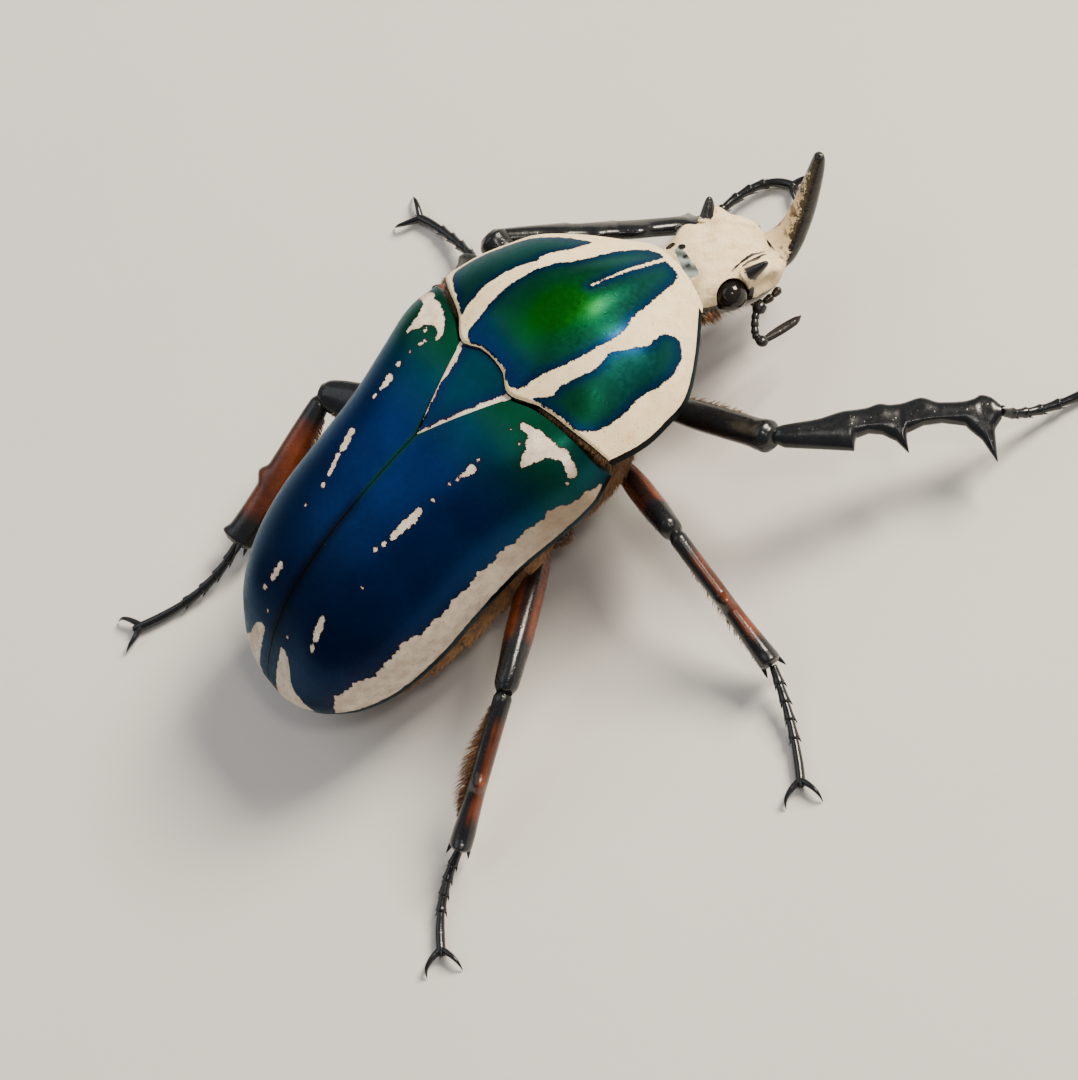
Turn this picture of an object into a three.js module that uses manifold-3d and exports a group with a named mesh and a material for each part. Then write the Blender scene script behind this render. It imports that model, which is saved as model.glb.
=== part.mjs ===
// Giant flower beetle, male, standing still on six feet.
// Units are millimetres. +X points to the head, +Y to the beetle's left and +Z up.
// The origin is the centre of the bounding box's bottom face, on the floor.
import * as THREE from 'three';
import Module from 'manifold-3d';

const wasm = await Module();
wasm.setup();

const DEG = Math.PI / 180;
const GAP = 0.32;

// Pose of the three body frames: hind body, prothorax and head
const BODY_PITCH = 9.75;
const BODY_HEIGHT = 6.0;
const BODY_PIVOT_X = -10;
const PROTHORAX_PITCH = 17.9;
const PROTHORAX_PIVOT_Z = 12;
const HEAD_PITCH = 29;
const HEAD_YAW = -5.5;
const HEAD_AT = [17, 0, 8.8];

// Elytra: distance behind the shoulder, half width, crown height and rim height
const ELYTRA = {
  d: [1.3, 4, 8, 13, 18.5, 24, 29, 33, 35.7, 37.1, 37.7],
  half: [12.8, 13.3, 12.6, 11.5, 11.15, 11.0, 10.15, 8.4, 6.1, 4.0, 2.2],
  top: [15.1, 15.6, 16.0, 16.1, 15.75, 14.9, 13.3, 11.0, 8.6, 6.9, 5.8],
  rim: [8.5, 7.9, 7.1, 6.4, 5.8, 5.2, 4.7, 4.5, 4.6, 4.8, 5.0],
};
const ELYTRON_ROUND = 2 / 2.8;
const ELYTRON_WALL = 0.8;
const ELYTRON_ROWS = 21;
const ELYTRON_COLS = 11;
const ELYTRA_FRONT = { y: [0, 3.8, 6.4, 10, 13.4], x: [-2.5, -2.4, -1.4, -0.9, -1.35] };
const SHOULDER_FADE = 6;
const SCUTELLUM_FRONT = -2.6;
const SCUTELLUM_APEX = -10.6;
const SCUTELLUM_HALF = 3.85;
const SCUTELLUM_ARCH = 1.0;
const SCUTELLUM_SECTION = [
  [-1, 0.25], [-0.5, 0.06], [0, 0], [0.5, 0.06], [1, 0.25], [0.9, 1.2], [-0.9, 1.2],
];
// Low swellings of an elytron at the shoulder and near the tip
const ELYTRON_BUMPS = [
  { d: 4.6, y: 9.8, height: 0.45, spread: 6 },
  { d: 31.5, y: 5.2, height: 0.35, spread: 5 },
];
// Inward and downward reach of the elytron's lip, for its outer and its inner face
const ELYTRON_LIPS = [[0.35, 0.9], [0.05, 0.55]];

// Pronotum, from its rear edge to its front edge
const PRONOTUM = {
  u: [0, 0.22, 0.4, 0.56, 0.75, 1],
  half: [13.2, 13.1, 12.4, 11.5, 8.9, 4.5],
  top: [14.9, 15.9, 15.9, 15.2, 13.2, 9.3],
  rim: [10, 9.0, 8.4, 8.0, 7.9, 8.0],
};
// The rear margin has a shallow notch in the middle, in front of the scutellum
const PRONOTUM_REAR = { s: [0, 0.12, 0.27, 0.5, 0.78, 1], x: [-2.0, -2.2, -3.05, -1.6, -0.6, 0.3] };
const PRONOTUM_FRONT_X = 17.5;
const PRONOTUM_FRONT_CORNER_X = 16.7;
const PRONOTUM_WALL = 0.9;
const PRONOTUM_CROWN_POWER = 2.3;
const PRONOTUM_DOME_POWER = 0.62;
const COLUMN_SPAN = 0.94;
const PRONOTUM_ROWS = 17;
const PRONOTUM_COLS = 21;

// Lower bodies: stations along X with half width, crown, side height and keel
const ABDOMEN = {
  x: [-9.9, -14, -19, -24, -29, -32, -34.2],
  half: [9.9, 10.7, 10.6, 10.3, 9.2, 7.5, 5.6],
  top: [11.5, 12, 12, 11.5, 10, 8.4, 7.0],
  side: [4.4, 3.6, 3.0, 2.8, 2.8, 3.0, 3.3],
  keel: [-2.0, -2.1, -1.9, -1.2, -0.1, 0.9, 1.8],
};
// The crown of the abdomen is narrower than its sides, to clear the elytra's rims
const CROWN_INSET = 1.5;
const VENTRITE_ENDS = [-13.6, -18.0, -22.4, -26.6, -30.4];
const VENTRITE_STEP = 0.22;
const PYGIDIUM_RINGS = [[-34.55, 0.99], [-35.4, 0.9], [-36.1, 0.72], [-36.6, 0.46], [-36.85, 0.18]];
const PYGIDIUM_CENTRE_Z = 3.3;
const PYGIDIUM_TOP_Z = 4.15;
const CROWN_POWER = 0.85;
const KEEL_POWER = 0.95;
const THORAX = {
  x: [1.4, 0.6, -2, -5, -9.5],
  half: [9.2, 10.4, 11.2, 11.1, 9.9],
  top: [10, 11.6, 12, 12, 11.5],
  side: [6.4, 6.6, 6.6, 6.2, 5.4],
  keel: [0.4, -0.9, -2.2, -2.6, -2.2],
};
const THORAX_STATIONS = [1.4, 0.6, -0.8, -2.2, -4, -6, -8, -9.5];
const PROTHORAX_U = [0.02, 0.92];
const PROTHORAX_RINGS = 9;
const PROTHORAX_KEEL = { u: [0, 0.35, 0.6, 0.92], z: [3.2, 3.0, 3.4, 4.6] };
const PROTHORAX_COLS = 15;
const PROTHORAX_UNDER_COLS = 9;
const PROTHORAX_REAR_PLANE = 1.75;

// Head stations, with the horn, teeth, eyes and mouthparts
const HEAD = {
  x: [-1.9, -0.4, 1.4, 3.2, 5.2, 7.2, 9, 9.9],
  half: [3.0, 3.5, 3.8, 3.95, 4.25, 4.15, 3.5, 2.75],
  top: [-2.3, -1.3, 0.0, 0.9, 1.5, 1.8, 1.3, 0.6],
  keel: [-4.8, -5.1, -5.3, -5.3, -5.0, -4.5, -3.8, -3.2],
  scoop: [0, 0, 0, 0.5, 0.9, 1.4, 1.5, 1.2],
};
const HEAD_POWER = 0.6;
const HEAD_ROOM = { at: [0.4, 0, -3.2], radii: [4.4, 4.8, 3.9] };
// Horn stations: x, z, half thickness and half width
const HORN = [
  [9.9, -1.7, 1.2, 2.1], [11.0, -1.2, 1.35, 1.95], [11.75, -0.1, 1.25, 1.6], [12.2, 1.5, 1.1, 1.35],
  [12.45, 3.6, 1.0, 1.15], [12.5, 6.2, 0.85, 0.95], [12.45, 8.6, 0.65, 0.75], [12.35, 9.8, 0.4, 0.5],
  [12.35, 10.15, 0.15, 0.2],
];
const HORN_START = 10.25;
const HEAD_TOOTH = { base: [5.3, 3.9, 0.6], tip: [5.0, 4.15, 3.2], flatness: 0.7 };
const HEAD_TOOTH_RADII = [[0, 0.95], [0.4, 0.76], [0.75, 0.43], [1, 0.14]];
// The socket of each eye opens upward and outward
const EYE = { at: [3.75, 3.65, -1.5], radius: 1.45, opening: [-0.9, 2.0, 2.1] };
const ANTENNA_STEM = [[6.8, 4.75, -2.5], [5.9, 5.2, -3.2], [5.3, 6.6, -4.2], [5.6, 7.35, -4.4]];
const ANTENNA_STEM_RADII = [0.42, 0.5, 0.32, 0.36];
const ANTENNA_JOINT_RADII = [0.62, 0.62, 0.5];
const ANTENNA_CLUB = [[5.9, 7.3, -4.4], [8.1, 6.7, -4.3], [10.4, 6.1, -4.2]];
const ANTENNA_CLUB_RADII = [0.3, 0.5, 0.3];
const ANTENNA_CLUB_WIDTH = 1.25;
const PALP = [[7.6, 2.2, -5.2], [8.6, 2.7, -4.9], [9.6, 2.6, -4.5], [10.5, 2.3, -4.1]];
const PALP_RADII = [0.3, 0.38, 0.34, 0.28];

// Legs in the floor frame: hip joints in the hind body's frame, left side
const COXA = {
  fore: { at: [3.9, 3.9, -0.9], radii: [1.7, 2.6, 1.9] },
  mid: { at: [-1.6, 4.7, -1.7], radii: [1.9, 2.6, 1.7] },
  hind: { at: [-9.9, 5.8, -0.9], radii: [2.0, 3.7, 1.5] },
};
const LEGS = {
  fore_right: { knee: [9.95, -17.6, 10.6], ankle: [26.6, -27.9, 4.8], bend: [28.6, -28.4, 0.4],
    foot: [36.2, -30.6, 0.6], roll: -0.2 },
  mid_right: { knee: [-1.95, -17.5, 9.6], ankle: [-3.2, -30.5, 2.6], bend: [-5.2, -35.5, 0.5],
    foot: [-8.3, -40.3, 0.6] },
  hind_right: { knee: [-22.2, -18.1, 9.2], ankle: [-34.9, -23.4, 2.4], bend: [-39.5, -24.4, 0.5],
    foot: [-42.2, -29.2, 0.6] },
  fore_left: { knee: [3.3, 16.3, 12.5], ankle: [19.1, 8.1, 3.2], bend: [26.1, 10.6, 0.5],
    foot: [27.4, 6.4, 0.6], roll: -1.1 },
  mid_left: { knee: [-7.6, 14.6, 11.9], ankle: [0.9, 22.0, 2.6], bend: [1.0, 28.5, 0.4],
    foot: [-0.4, 31.8, 0.6] },
  hind_left: { knee: [-17.6, 19.3, 7.2], ankle: [-33.0, 16.6, 2.4], bend: [-38.5, 15.2, 0.5],
    foot: [-45.6, 18.2, 0.6] },
};
const FEMUR = {
  fore: {
    out: [0.55, 1.1, 1.45, 1.65, 1.65, 1.55, 1.5, 0.9],
    half: [0.5, 1.0, 1.15, 1.2, 1.2, 1.25, 1.5, 0.9],
  },
  mid: {
    out: [0.55, 1.1, 1.5, 1.75, 1.75, 1.6, 1.3, 0.8],
    half: [0.5, 0.9, 1.1, 1.2, 1.2, 1.1, 1.0, 0.6],
  },
  hind: {
    out: [0.6, 1.2, 1.75, 2.1, 2.1, 1.85, 1.45, 0.9],
    half: [0.5, 1.0, 1.25, 1.35, 1.35, 1.2, 1.1, 0.7],
  },
};
const FEMUR_AT = [0, 0.06, 0.2, 0.4, 0.6, 0.8, 0.94, 1];
const TIBIA = {
  fore: {
    at: [0, 0.05, 0.2, 0.35, 0.38, 0.44, 0.5, 0.56, 0.595, 0.615, 0.68, 0.75, 0.86, 0.92, 0.955, 0.975, 1],
    outer: [0.5, 1.1, 1.6, 2.2, 0.95, 0.6, 0.9, 1.6, 2.9, 0.8, 0.4, 0.4, 0.9, 2.6, 4.6, 2.4, 0.6],
    inner: [0.5, 0.95, 1.15, 1.65, 1.65, 1.7, 1.95, 1.75, 1.75, 1.8, 2.1, 1.5, 1.35, 1.5, 1.75, 1.5, 0.7],
    half: [0.5, 0.95, 1.0, 1.0, 0.95, 0.9, 0.9, 0.85, 0.8, 0.85, 0.85, 0.85, 0.85, 0.8, 0.7, 0.7, 0.5],
  },
  mid: {
    at: [0, 0.06, 0.25, 0.46, 0.53, 0.6, 0.78, 0.9, 0.97, 1],
    outer: [0.45, 0.9, 1.05, 1.15, 1.8, 1.1, 1.25, 1.45, 1.8, 1.1],
    inner: [0.45, 0.85, 0.95, 1.05, 1.1, 1.1, 1.2, 1.3, 1.35, 0.9],
    half: [0.45, 0.8, 0.8, 0.8, 0.8, 0.8, 0.9, 1.0, 1.05, 0.7],
  },
  hind: {
    at: [0, 0.06, 0.25, 0.5, 0.57, 0.64, 0.8, 0.92, 0.97, 1],
    outer: [0.45, 0.95, 1.1, 1.25, 1.8, 1.25, 1.35, 1.55, 1.9, 1.2],
    inner: [0.45, 0.9, 1.05, 1.2, 1.25, 1.25, 1.35, 1.45, 1.45, 1.0],
    half: [0.45, 0.85, 0.85, 0.85, 0.85, 0.85, 0.95, 1.05, 1.05, 0.7],
  },
};
const FEMUR_PAST_KNEE = 0.5;
const TIBIA_PAST_KNEE = 0.7;
// Spurs at the end of a tibia: how far back, aside and inward they root, and where they point
const SPUR_LENGTH = { fore: 1.4, mid: 1.6, hind: 1.8 };
const SPUR_ROOT = { back: 0.9, aside: 0.62, inward: 0.5 };
const SPUR_LEAN = { aside: 0.4, inward: 0.3 };
const SPUR_RADII = [[0, 0.36], [0.6, 0.28], [1, 0.1]];
const SPUR_LOWEST = 0.35;
const TARSUS_JOINTS = [0, 0.16, 0.31, 0.46, 0.62, 1];
const TARSUS_RADII = [[0.04, 0.38], [0.6, 0.52], [0.93, 0.62]];
const TARSUS_ROOM_START = { t: -0.03, radius: 0.6 };
// Claws: share of the length, radius and height above the root, which lies near the foot's end
const CLAW_ROOT = 0.95;
const CLAW_LENGTH = 2.3;
const CLAW_SPREAD = 1.7;
const CLAW_TURN = 1.5;
const CLAW_STATIONS = [[0, 0.42, 0], [0.35, 0.4, 0.22], [0.7, 0.3, 0.12], [1, 0.12, -0.45]];

const COLOURS = {
  cuticle: 0x14151a,
  elytra: 0x0e2340,
  pronotum: 0x0c4a2c,
  cream: 0xd9cdb2,
  underside: 0x4a3a22,
  red: 0x6e2a14,
  eye: 0x0a0a0b,
};

// A smooth curve through the listed values
function smooth(xs, ys, x) {
  const rising = xs[xs.length - 1] > xs[0];
  const n = xs.length;
  let i = 0;
  while (i < n - 2 && (rising ? x > xs[i + 1] : x < xs[i + 1])) i += 1;
  const slope = (k) => {
    const a = Math.max(0, k - 1);
    const b = Math.min(n - 1, k + 1);
    return (ys[b] - ys[a]) / (xs[b] - xs[a]);
  };
  const h = xs[i + 1] - xs[i];
  const t = Math.min(1, Math.max(0, (x - xs[i]) / h));
  const t2 = t * t;
  const t3 = t2 * t;
  return (2 * t3 - 3 * t2 + 1) * ys[i] + (t3 - 2 * t2 + t) * h * slope(i)
    + (3 * t2 - 2 * t3) * ys[i + 1] + (t3 - t2) * h * slope(i + 1);
}

function vec(p) {
  return new THREE.Vector3(p[0], p[1], p[2]);
}

// Frame matrices
const bodyFrame = new THREE.Matrix4().makeTranslation(BODY_PIVOT_X, 0, BODY_HEIGHT)
  .multiply(new THREE.Matrix4().makeRotationY(-BODY_PITCH * DEG))
  .multiply(new THREE.Matrix4().makeTranslation(-BODY_PIVOT_X, 0, 0));
const prothoraxFrame = bodyFrame.clone()
  .multiply(new THREE.Matrix4().makeTranslation(0, 0, PROTHORAX_PIVOT_Z))
  .multiply(new THREE.Matrix4().makeRotationY(PROTHORAX_PITCH * DEG))
  .multiply(new THREE.Matrix4().makeTranslation(0, 0, -PROTHORAX_PIVOT_Z));
const headFrame = prothoraxFrame.clone()
  .multiply(new THREE.Matrix4().makeTranslation(...HEAD_AT))
  .multiply(new THREE.Matrix4().makeRotationZ(HEAD_YAW * DEG))
  .multiply(new THREE.Matrix4().makeRotationY(HEAD_PITCH * DEG));

// Closed surface from rings of equal length, with a fan on each end
function loft(rings) {
  const sides = rings[0].length;
  const positions = [];
  const index = [];
  for (const ring of rings) {
    for (const p of ring) positions.push(p.x, p.y, p.z);
  }
  for (let r = 0; r < rings.length - 1; r += 1) {
    for (let k = 0; k < sides; k += 1) {
      const a = r * sides + k;
      const b = r * sides + ((k + 1) % sides);
      index.push(a, b, b + sides, a, b + sides, a + sides);
    }
  }
  for (const end of [0, rings.length - 1]) {
    const centre = new THREE.Vector3();
    for (const p of rings[end]) centre.addScaledVector(p, 1 / sides);
    const c = positions.length / 3;
    positions.push(centre.x, centre.y, centre.z);
    for (let k = 0; k < sides; k += 1) {
      const a = end * sides + k;
      const b = end * sides + ((k + 1) % sides);
      if (end === 0) index.push(c, b, a);
      else index.push(c, a, b);
    }
  }
  return outward(positions, index);
}

// Closed plate between an outer and an inner grid of the same size
function plate(outer, inner) {
  const rows = outer.length;
  const cols = outer[0].length;
  const positions = [];
  const index = [];
  for (const grid of [outer, inner]) {
    for (const row of grid) {
      for (const p of row) positions.push(p.x, p.y, p.z);
    }
  }
  const low = rows * cols;
  const quad = (a, b, c, d) => index.push(a, b, c, a, c, d);
  for (let i = 0; i < rows - 1; i += 1) {
    for (let j = 0; j < cols - 1; j += 1) {
      const a = i * cols + j;
      quad(a, a + 1, a + cols + 1, a + cols);
      quad(low + a, low + a + cols, low + a + cols + 1, low + a + 1);
    }
  }
  const around = [];
  for (let j = 0; j < cols; j += 1) around.push(j);
  for (let i = 1; i < rows; i += 1) around.push(i * cols + cols - 1);
  for (let j = cols - 2; j >= 0; j -= 1) around.push((rows - 1) * cols + j);
  for (let i = rows - 2; i > 0; i -= 1) around.push(i * cols);
  for (let k = 0; k < around.length; k += 1) {
    const a = around[k];
    const b = around[(k + 1) % around.length];
    quad(b, a, low + a, low + b);
  }
  return outward(positions, index);
}

// Geometry with its faces turned outward
function outward(positions, index) {
  let volume = 0;
  const at = (i) => new THREE.Vector3(positions[3 * i], positions[3 * i + 1], positions[3 * i + 2]);
  for (let i = 0; i < index.length; i += 3) {
    volume += at(index[i]).dot(at(index[i + 1]).cross(at(index[i + 2])));
  }
  if (volume < 0) {
    for (let i = 0; i < index.length; i += 3) {
      [index[i + 1], index[i + 2]] = [index[i + 2], index[i + 1]];
    }
  }
  const geometry = new THREE.BufferGeometry();
  geometry.setAttribute('position', new THREE.Float32BufferAttribute(positions, 3));
  geometry.setIndex(index);
  return geometry;
}

function toSolid(geometry) {
  const mesh = new wasm.Mesh({
    numProp: 3,
    vertProperties: new Float32Array(geometry.getAttribute('position').array),
    triVerts: new Uint32Array(geometry.getIndex().array),
  });
  return new wasm.Manifold(mesh);
}

// The largest closed surface of a cut or joined solid
function fromSolid(solid) {
  const pieces = solid.decompose();
  let best = pieces[0];
  for (const piece of pieces) {
    if (piece.volume() > best.volume()) best = piece;
  }
  const mesh = best.getMesh();
  const geometry = new THREE.BufferGeometry();
  geometry.setAttribute('position', new THREE.Float32BufferAttribute(mesh.vertProperties, 3));
  geometry.setIndex(Array.from(mesh.triVerts));
  return geometry;
}

function join(...geometries) {
  let solid = toSolid(geometries[0]);
  for (const geometry of geometries.slice(1)) solid = solid.add(toSolid(geometry));
  return fromSolid(solid);
}

function cut(geometry, ...tools) {
  let solid = toSolid(geometry);
  for (const tool of tools) solid = solid.subtract(toSolid(tool));
  return fromSolid(solid);
}

// Tube along a path. Each station has a centre, an outer and an inner reach and a half width.
function limb(stations, outDirection, sides) {
  const rings = stations.map((station, i) => {
    const before = stations[Math.max(0, i - 1)].at;
    const after = stations[Math.min(stations.length - 1, i + 1)].at;
    const along = after.clone().sub(before).normalize();
    const out = outDirection.clone().addScaledVector(along, -outDirection.dot(along)).normalize();
    const across = along.clone().cross(out);
    const ring = [];
    for (let k = 0; k < sides; k += 1) {
      const angle = (2 * Math.PI * k) / sides;
      const reach = Math.cos(angle) > 0 ? station.outer : station.inner;
      ring.push(station.at.clone().addScaledVector(out, Math.cos(angle) * reach)
        .addScaledVector(across, Math.sin(angle) * station.half));
    }
    return ring;
  });
  return loft(rings);
}

// Station of a tube with a circular section
function round(at, radius) {
  return { at, outer: radius, inner: radius, half: radius };
}

function ellipsoid(centre, radii, grow, across, down) {
  const rings = [];
  for (let i = 1; i < down; i += 1) {
    const polar = (Math.PI * i) / down;
    const ring = [];
    for (let k = 0; k < across; k += 1) {
      const turn = (2 * Math.PI * k) / across;
      ring.push(new THREE.Vector3(
        centre[0] + (radii[0] + grow) * Math.sin(polar) * Math.cos(turn),
        centre[1] + (radii[1] + grow) * Math.cos(polar),
        centre[2] + (radii[2] + grow) * Math.sin(polar) * Math.sin(turn),
      ));
    }
    rings.push(ring);
  }
  return loft(rings);
}

function boxBetween(low, high) {
  const ring = (x) => [[low[1], low[2]], [high[1], low[2]], [high[1], high[2]], [low[1], high[2]]]
    .map(([y, z]) => new THREE.Vector3(x, y, z));
  return loft([ring(low[0]), ring(high[0])]);
}

// Point of an elytron, from the inner edge (s = 0) to the rim (s = 1)
function elytronPoint(d, s, wall, side) {
  const half = smooth(ELYTRA.d, ELYTRA.half, d) - wall;
  const top = smooth(ELYTRA.d, ELYTRA.top, d) - wall;
  const rim = smooth(ELYTRA.d, ELYTRA.rim, d);
  const fade = Math.max(0, 1 - (d - ELYTRA.d[0]) / SHOULDER_FADE);
  const behind = d - (ELYTRA_FRONT.x[1] + ELYTRA.d[0]) * fade;
  const room = Math.max(0, -SCUTELLUM_APEX - behind) / (SCUTELLUM_FRONT - SCUTELLUM_APEX);
  const inner = Math.min(GAP / 2 + SCUTELLUM_HALF * room, half * 0.6);
  const start = Math.asin(Math.pow(inner / half, 1 / ELYTRON_ROUND));
  const angle = start + (Math.PI / 2 - start) * s;
  const y = half * Math.pow(Math.sin(angle), ELYTRON_ROUND);
  let z = rim + (top - rim) * Math.pow(Math.max(0, Math.cos(angle)), ELYTRON_ROUND);
  for (const bump of ELYTRON_BUMPS) {
    z += bump.height * Math.exp(-((d - bump.d) ** 2 + (y - bump.y) ** 2) / bump.spread);
  }
  const shift = (smooth(ELYTRA_FRONT.y, ELYTRA_FRONT.x, y) + ELYTRA.d[0]) * fade;
  return new THREE.Vector3(-d + shift, side * y, z);
}

function elytronGeometry(side) {
  const first = ELYTRA.d[0];
  const last = ELYTRA.d[ELYTRA.d.length - 1];
  const grids = [0, ELYTRON_WALL].map((wall, face) => {
    const [inward, downward] = ELYTRON_LIPS[face];
    const rows = [];
    for (let i = 0; i < ELYTRON_ROWS; i += 1) {
      const u = i / (ELYTRON_ROWS - 1);
      const d = first + (last - first) * (0.6 * u + 0.4 * Math.sin((u * Math.PI) / 2));
      const row = [];
      for (let j = 0; j < ELYTRON_COLS; j += 1) {
        row.push(elytronPoint(d, j / (ELYTRON_COLS - 1), wall, side));
      }
      const lip = row[row.length - 1].clone();
      const reach = Math.min(1, (last - d) / 6 + 0.25);
      lip.y -= side * inward * reach;
      lip.z -= downward * reach;
      row.push(lip);
      rows.push(row);
    }
    return rows;
  });
  return plate(grids[0], grids[1]);
}

// Point of the pronotum, u from rear to front, s from -1 (right) to 1 (left)
function pronotumPoint(u, s, wall) {
  const a = Math.abs(s);
  const half = smooth(PRONOTUM.u, PRONOTUM.half, u) - wall;
  const top = smooth(PRONOTUM.u, PRONOTUM.top, u) - wall;
  const rim = smooth(PRONOTUM.u, PRONOTUM.rim, u);
  const rear = smooth(PRONOTUM_REAR.s, PRONOTUM_REAR.x, a);
  const front = PRONOTUM_FRONT_X + (PRONOTUM_FRONT_CORNER_X - PRONOTUM_FRONT_X) * a * a;
  const crown = Math.max(0, 1 - Math.pow(a, PRONOTUM_CROWN_POWER));
  const z = rim + (top - rim) * Math.pow(crown, PRONOTUM_DOME_POWER);
  return new THREE.Vector3(rear + (front - rear) * u, s * half, z);
}

// Column positions crowd towards the steep sides
function column(j, cols) {
  const turn = (-0.5 + j / (cols - 1)) * Math.PI * COLUMN_SPAN;
  return Math.sin(turn) / Math.sin((Math.PI * COLUMN_SPAN) / 2);
}

function pronotumGeometry() {
  const grids = [0, PRONOTUM_WALL].map((wall) => {
    const rows = [];
    for (let i = 0; i < PRONOTUM_ROWS; i += 1) {
      const row = [];
      for (let j = 0; j < PRONOTUM_COLS; j += 1) {
        row.push(pronotumPoint(i / (PRONOTUM_ROWS - 1), column(j, PRONOTUM_COLS), wall));
      }
      rows.push(row);
    }
    return rows;
  });
  return plate(grids[0], grids[1]);
}

// The front body under the pronotum: its crown follows the pronotum, its keel is round
function prothoraxGeometry() {
  const rings = [];
  const inset = PRONOTUM_WALL + GAP + 0.1;
  for (let i = 0; i < PROTHORAX_RINGS; i += 1) {
    const u = PROTHORAX_U[0] + ((PROTHORAX_U[1] - PROTHORAX_U[0]) * i) / (PROTHORAX_RINGS - 1);
    const ring = [];
    for (let j = 0; j < PROTHORAX_COLS; j += 1) {
      ring.push(pronotumPoint(u, column(j, PROTHORAX_COLS) * 0.99, inset));
    }
    const keel = smooth(PROTHORAX_KEEL.u, PROTHORAX_KEEL.z, u);
    const side = ring[0];
    const middleX = ring[(PROTHORAX_COLS - 1) / 2].x;
    for (let j = 1; j <= PROTHORAX_UNDER_COLS; j += 1) {
      const angle = (Math.PI * j) / (PROTHORAX_UNDER_COLS + 1);
      const y = -side.y * Math.cos(angle) * 0.97;
      ring.push(new THREE.Vector3(middleX, y, side.z - (side.z - keel) * Math.sin(angle)));
    }
    rings.push(ring);
  }
  return loft(rings);
}

// Ring of a lower body with a domed crown and a rounded keel
function bodyRing(table, x, swell, sides, crownInset = 0) {
  const half = smooth(table.x, table.half, x) + swell;
  const top = smooth(table.x, table.top, x);
  const side = smooth(table.x, table.side, x);
  const keel = smooth(table.x, table.keel, x) - swell;
  const ring = [];
  for (let k = 0; k < sides; k += 1) {
    const angle = (2 * Math.PI * k) / sides;
    const c = Math.cos(angle);
    const s = Math.sin(angle);
    const inset = crownInset * Math.min(1, Math.max(0, s / 0.22));
    const y = (half - inset) * Math.sign(c) * Math.pow(Math.abs(c), CROWN_POWER);
    const z = s > 0 ? (top - side) * Math.pow(s, CROWN_POWER) : (keel - side) * Math.pow(-s, KEEL_POWER);
    ring.push(new THREE.Vector3(x, y, side + z));
  }
  return ring;
}

function abdomenGeometry() {
  const stations = [[ABDOMEN.x[0], 0]];
  for (const end of VENTRITE_ENDS) {
    stations.push([end + 2.0, 0.02]);
    stations.push([end + 0.12, 0.06]);
    stations.push([end - 0.12, -VENTRITE_STEP]);
  }
  stations.push([-32.4, 0], [ABDOMEN.x[ABDOMEN.x.length - 1], 0]);
  return loft(stations.map(([x, swell]) => bodyRing(ABDOMEN, x, swell, 26, CROWN_INSET)));
}

function pygidiumGeometry() {
  const base = bodyRing(ABDOMEN, ABDOMEN.x[ABDOMEN.x.length - 1], 0, 22);
  const rings = PYGIDIUM_RINGS.map(([x, scale]) => base.map((p) => {
    const rise = Math.min(p.z, PYGIDIUM_TOP_Z) - PYGIDIUM_CENTRE_Z;
    return new THREE.Vector3(x, p.y * scale, PYGIDIUM_CENTRE_Z + rise * scale);
  }));
  return loft(rings);
}

function thoraxGeometry() {
  return loft(THORAX_STATIONS.map((x) => bodyRing(THORAX, x, 0, 28)));
}

// Head with a hollowed brow between raised sides, and a small upright tooth on each side
function headGeometry() {
  const sides = 20;
  const rings = HEAD.x.map((x, i) => {
    const ring = [];
    const middle = (HEAD.top[i] + HEAD.keel[i]) / 2;
    for (let k = 0; k < sides; k += 1) {
      const angle = (2 * Math.PI * k) / sides;
      const c = Math.cos(angle);
      const s = Math.sin(angle);
      const narrow = s < 0 ? 1 + 0.2 * s : 1;
      const y = HEAD.half[i] * Math.sign(c) * Math.pow(Math.abs(c), HEAD_POWER) * narrow;
      const tall = s > 0 ? HEAD.top[i] - middle : middle - HEAD.keel[i];
      const scoop = s > 0 ? HEAD.scoop[i] * (1 - (y / HEAD.half[i]) ** 2) : 0;
      const z = middle + tall * Math.sign(s) * Math.pow(Math.abs(s), HEAD_POWER) - scoop;
      ring.push(new THREE.Vector3(x, y, z));
    }
    return ring;
  });
  const teeth = [1, -1].map((side) => {
    const base = vec(HEAD_TOOTH.base);
    const tip = vec(HEAD_TOOTH.tip);
    base.y *= side;
    tip.y *= side;
    const stations = HEAD_TOOTH_RADII.map(([t, radius]) => (
      { at: base.clone().lerp(tip, t), outer: radius, inner: radius, half: radius * HEAD_TOOTH.flatness }
    ));
    return limb(stations, new THREE.Vector3(1, 0, 0), 8);
  });
  return join(loft(rings), ...teeth);
}

function hornGeometry() {
  const stations = HORN.map(([x, z, thick, wide]) => (
    { at: new THREE.Vector3(x, 0, z), outer: thick, inner: thick, half: wide }
  ));
  const behind = boxBetween([HORN_START - 10, -5, -10], [HORN_START, 5, 5]);
  return cut(limb(stations, new THREE.Vector3(1, 0, 0.35), 12), behind);
}

// Antenna of one side: a bent stem with a long three-leaved club
function antennaGeometry(side) {
  const mirror = (p) => new THREE.Vector3(p[0], side * p[1], p[2]);
  const stem = ANTENNA_STEM.map((p, i) => round(mirror(p), ANTENNA_STEM_RADII[i]));
  const club = ANTENNA_CLUB.map((p, i) => {
    const radius = ANTENNA_CLUB_RADII[i];
    return { at: mirror(p), outer: radius, inner: radius, half: radius * ANTENNA_CLUB_WIDTH };
  });
  const joint = ellipsoid(mirror(ANTENNA_STEM[3]).toArray(), ANTENNA_JOINT_RADII, 0, 8, 6);
  const up = new THREE.Vector3(0, 0, 1);
  return join(limb(stem, up, 8), joint, limb(club, up, 8));
}

function palpGeometry(side) {
  const stations = PALP.map((p, i) => round(new THREE.Vector3(p[0], side * p[1], p[2]), PALP_RADII[i]));
  return limb(stations, new THREE.Vector3(0, 0, 1), 8);
}

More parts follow.
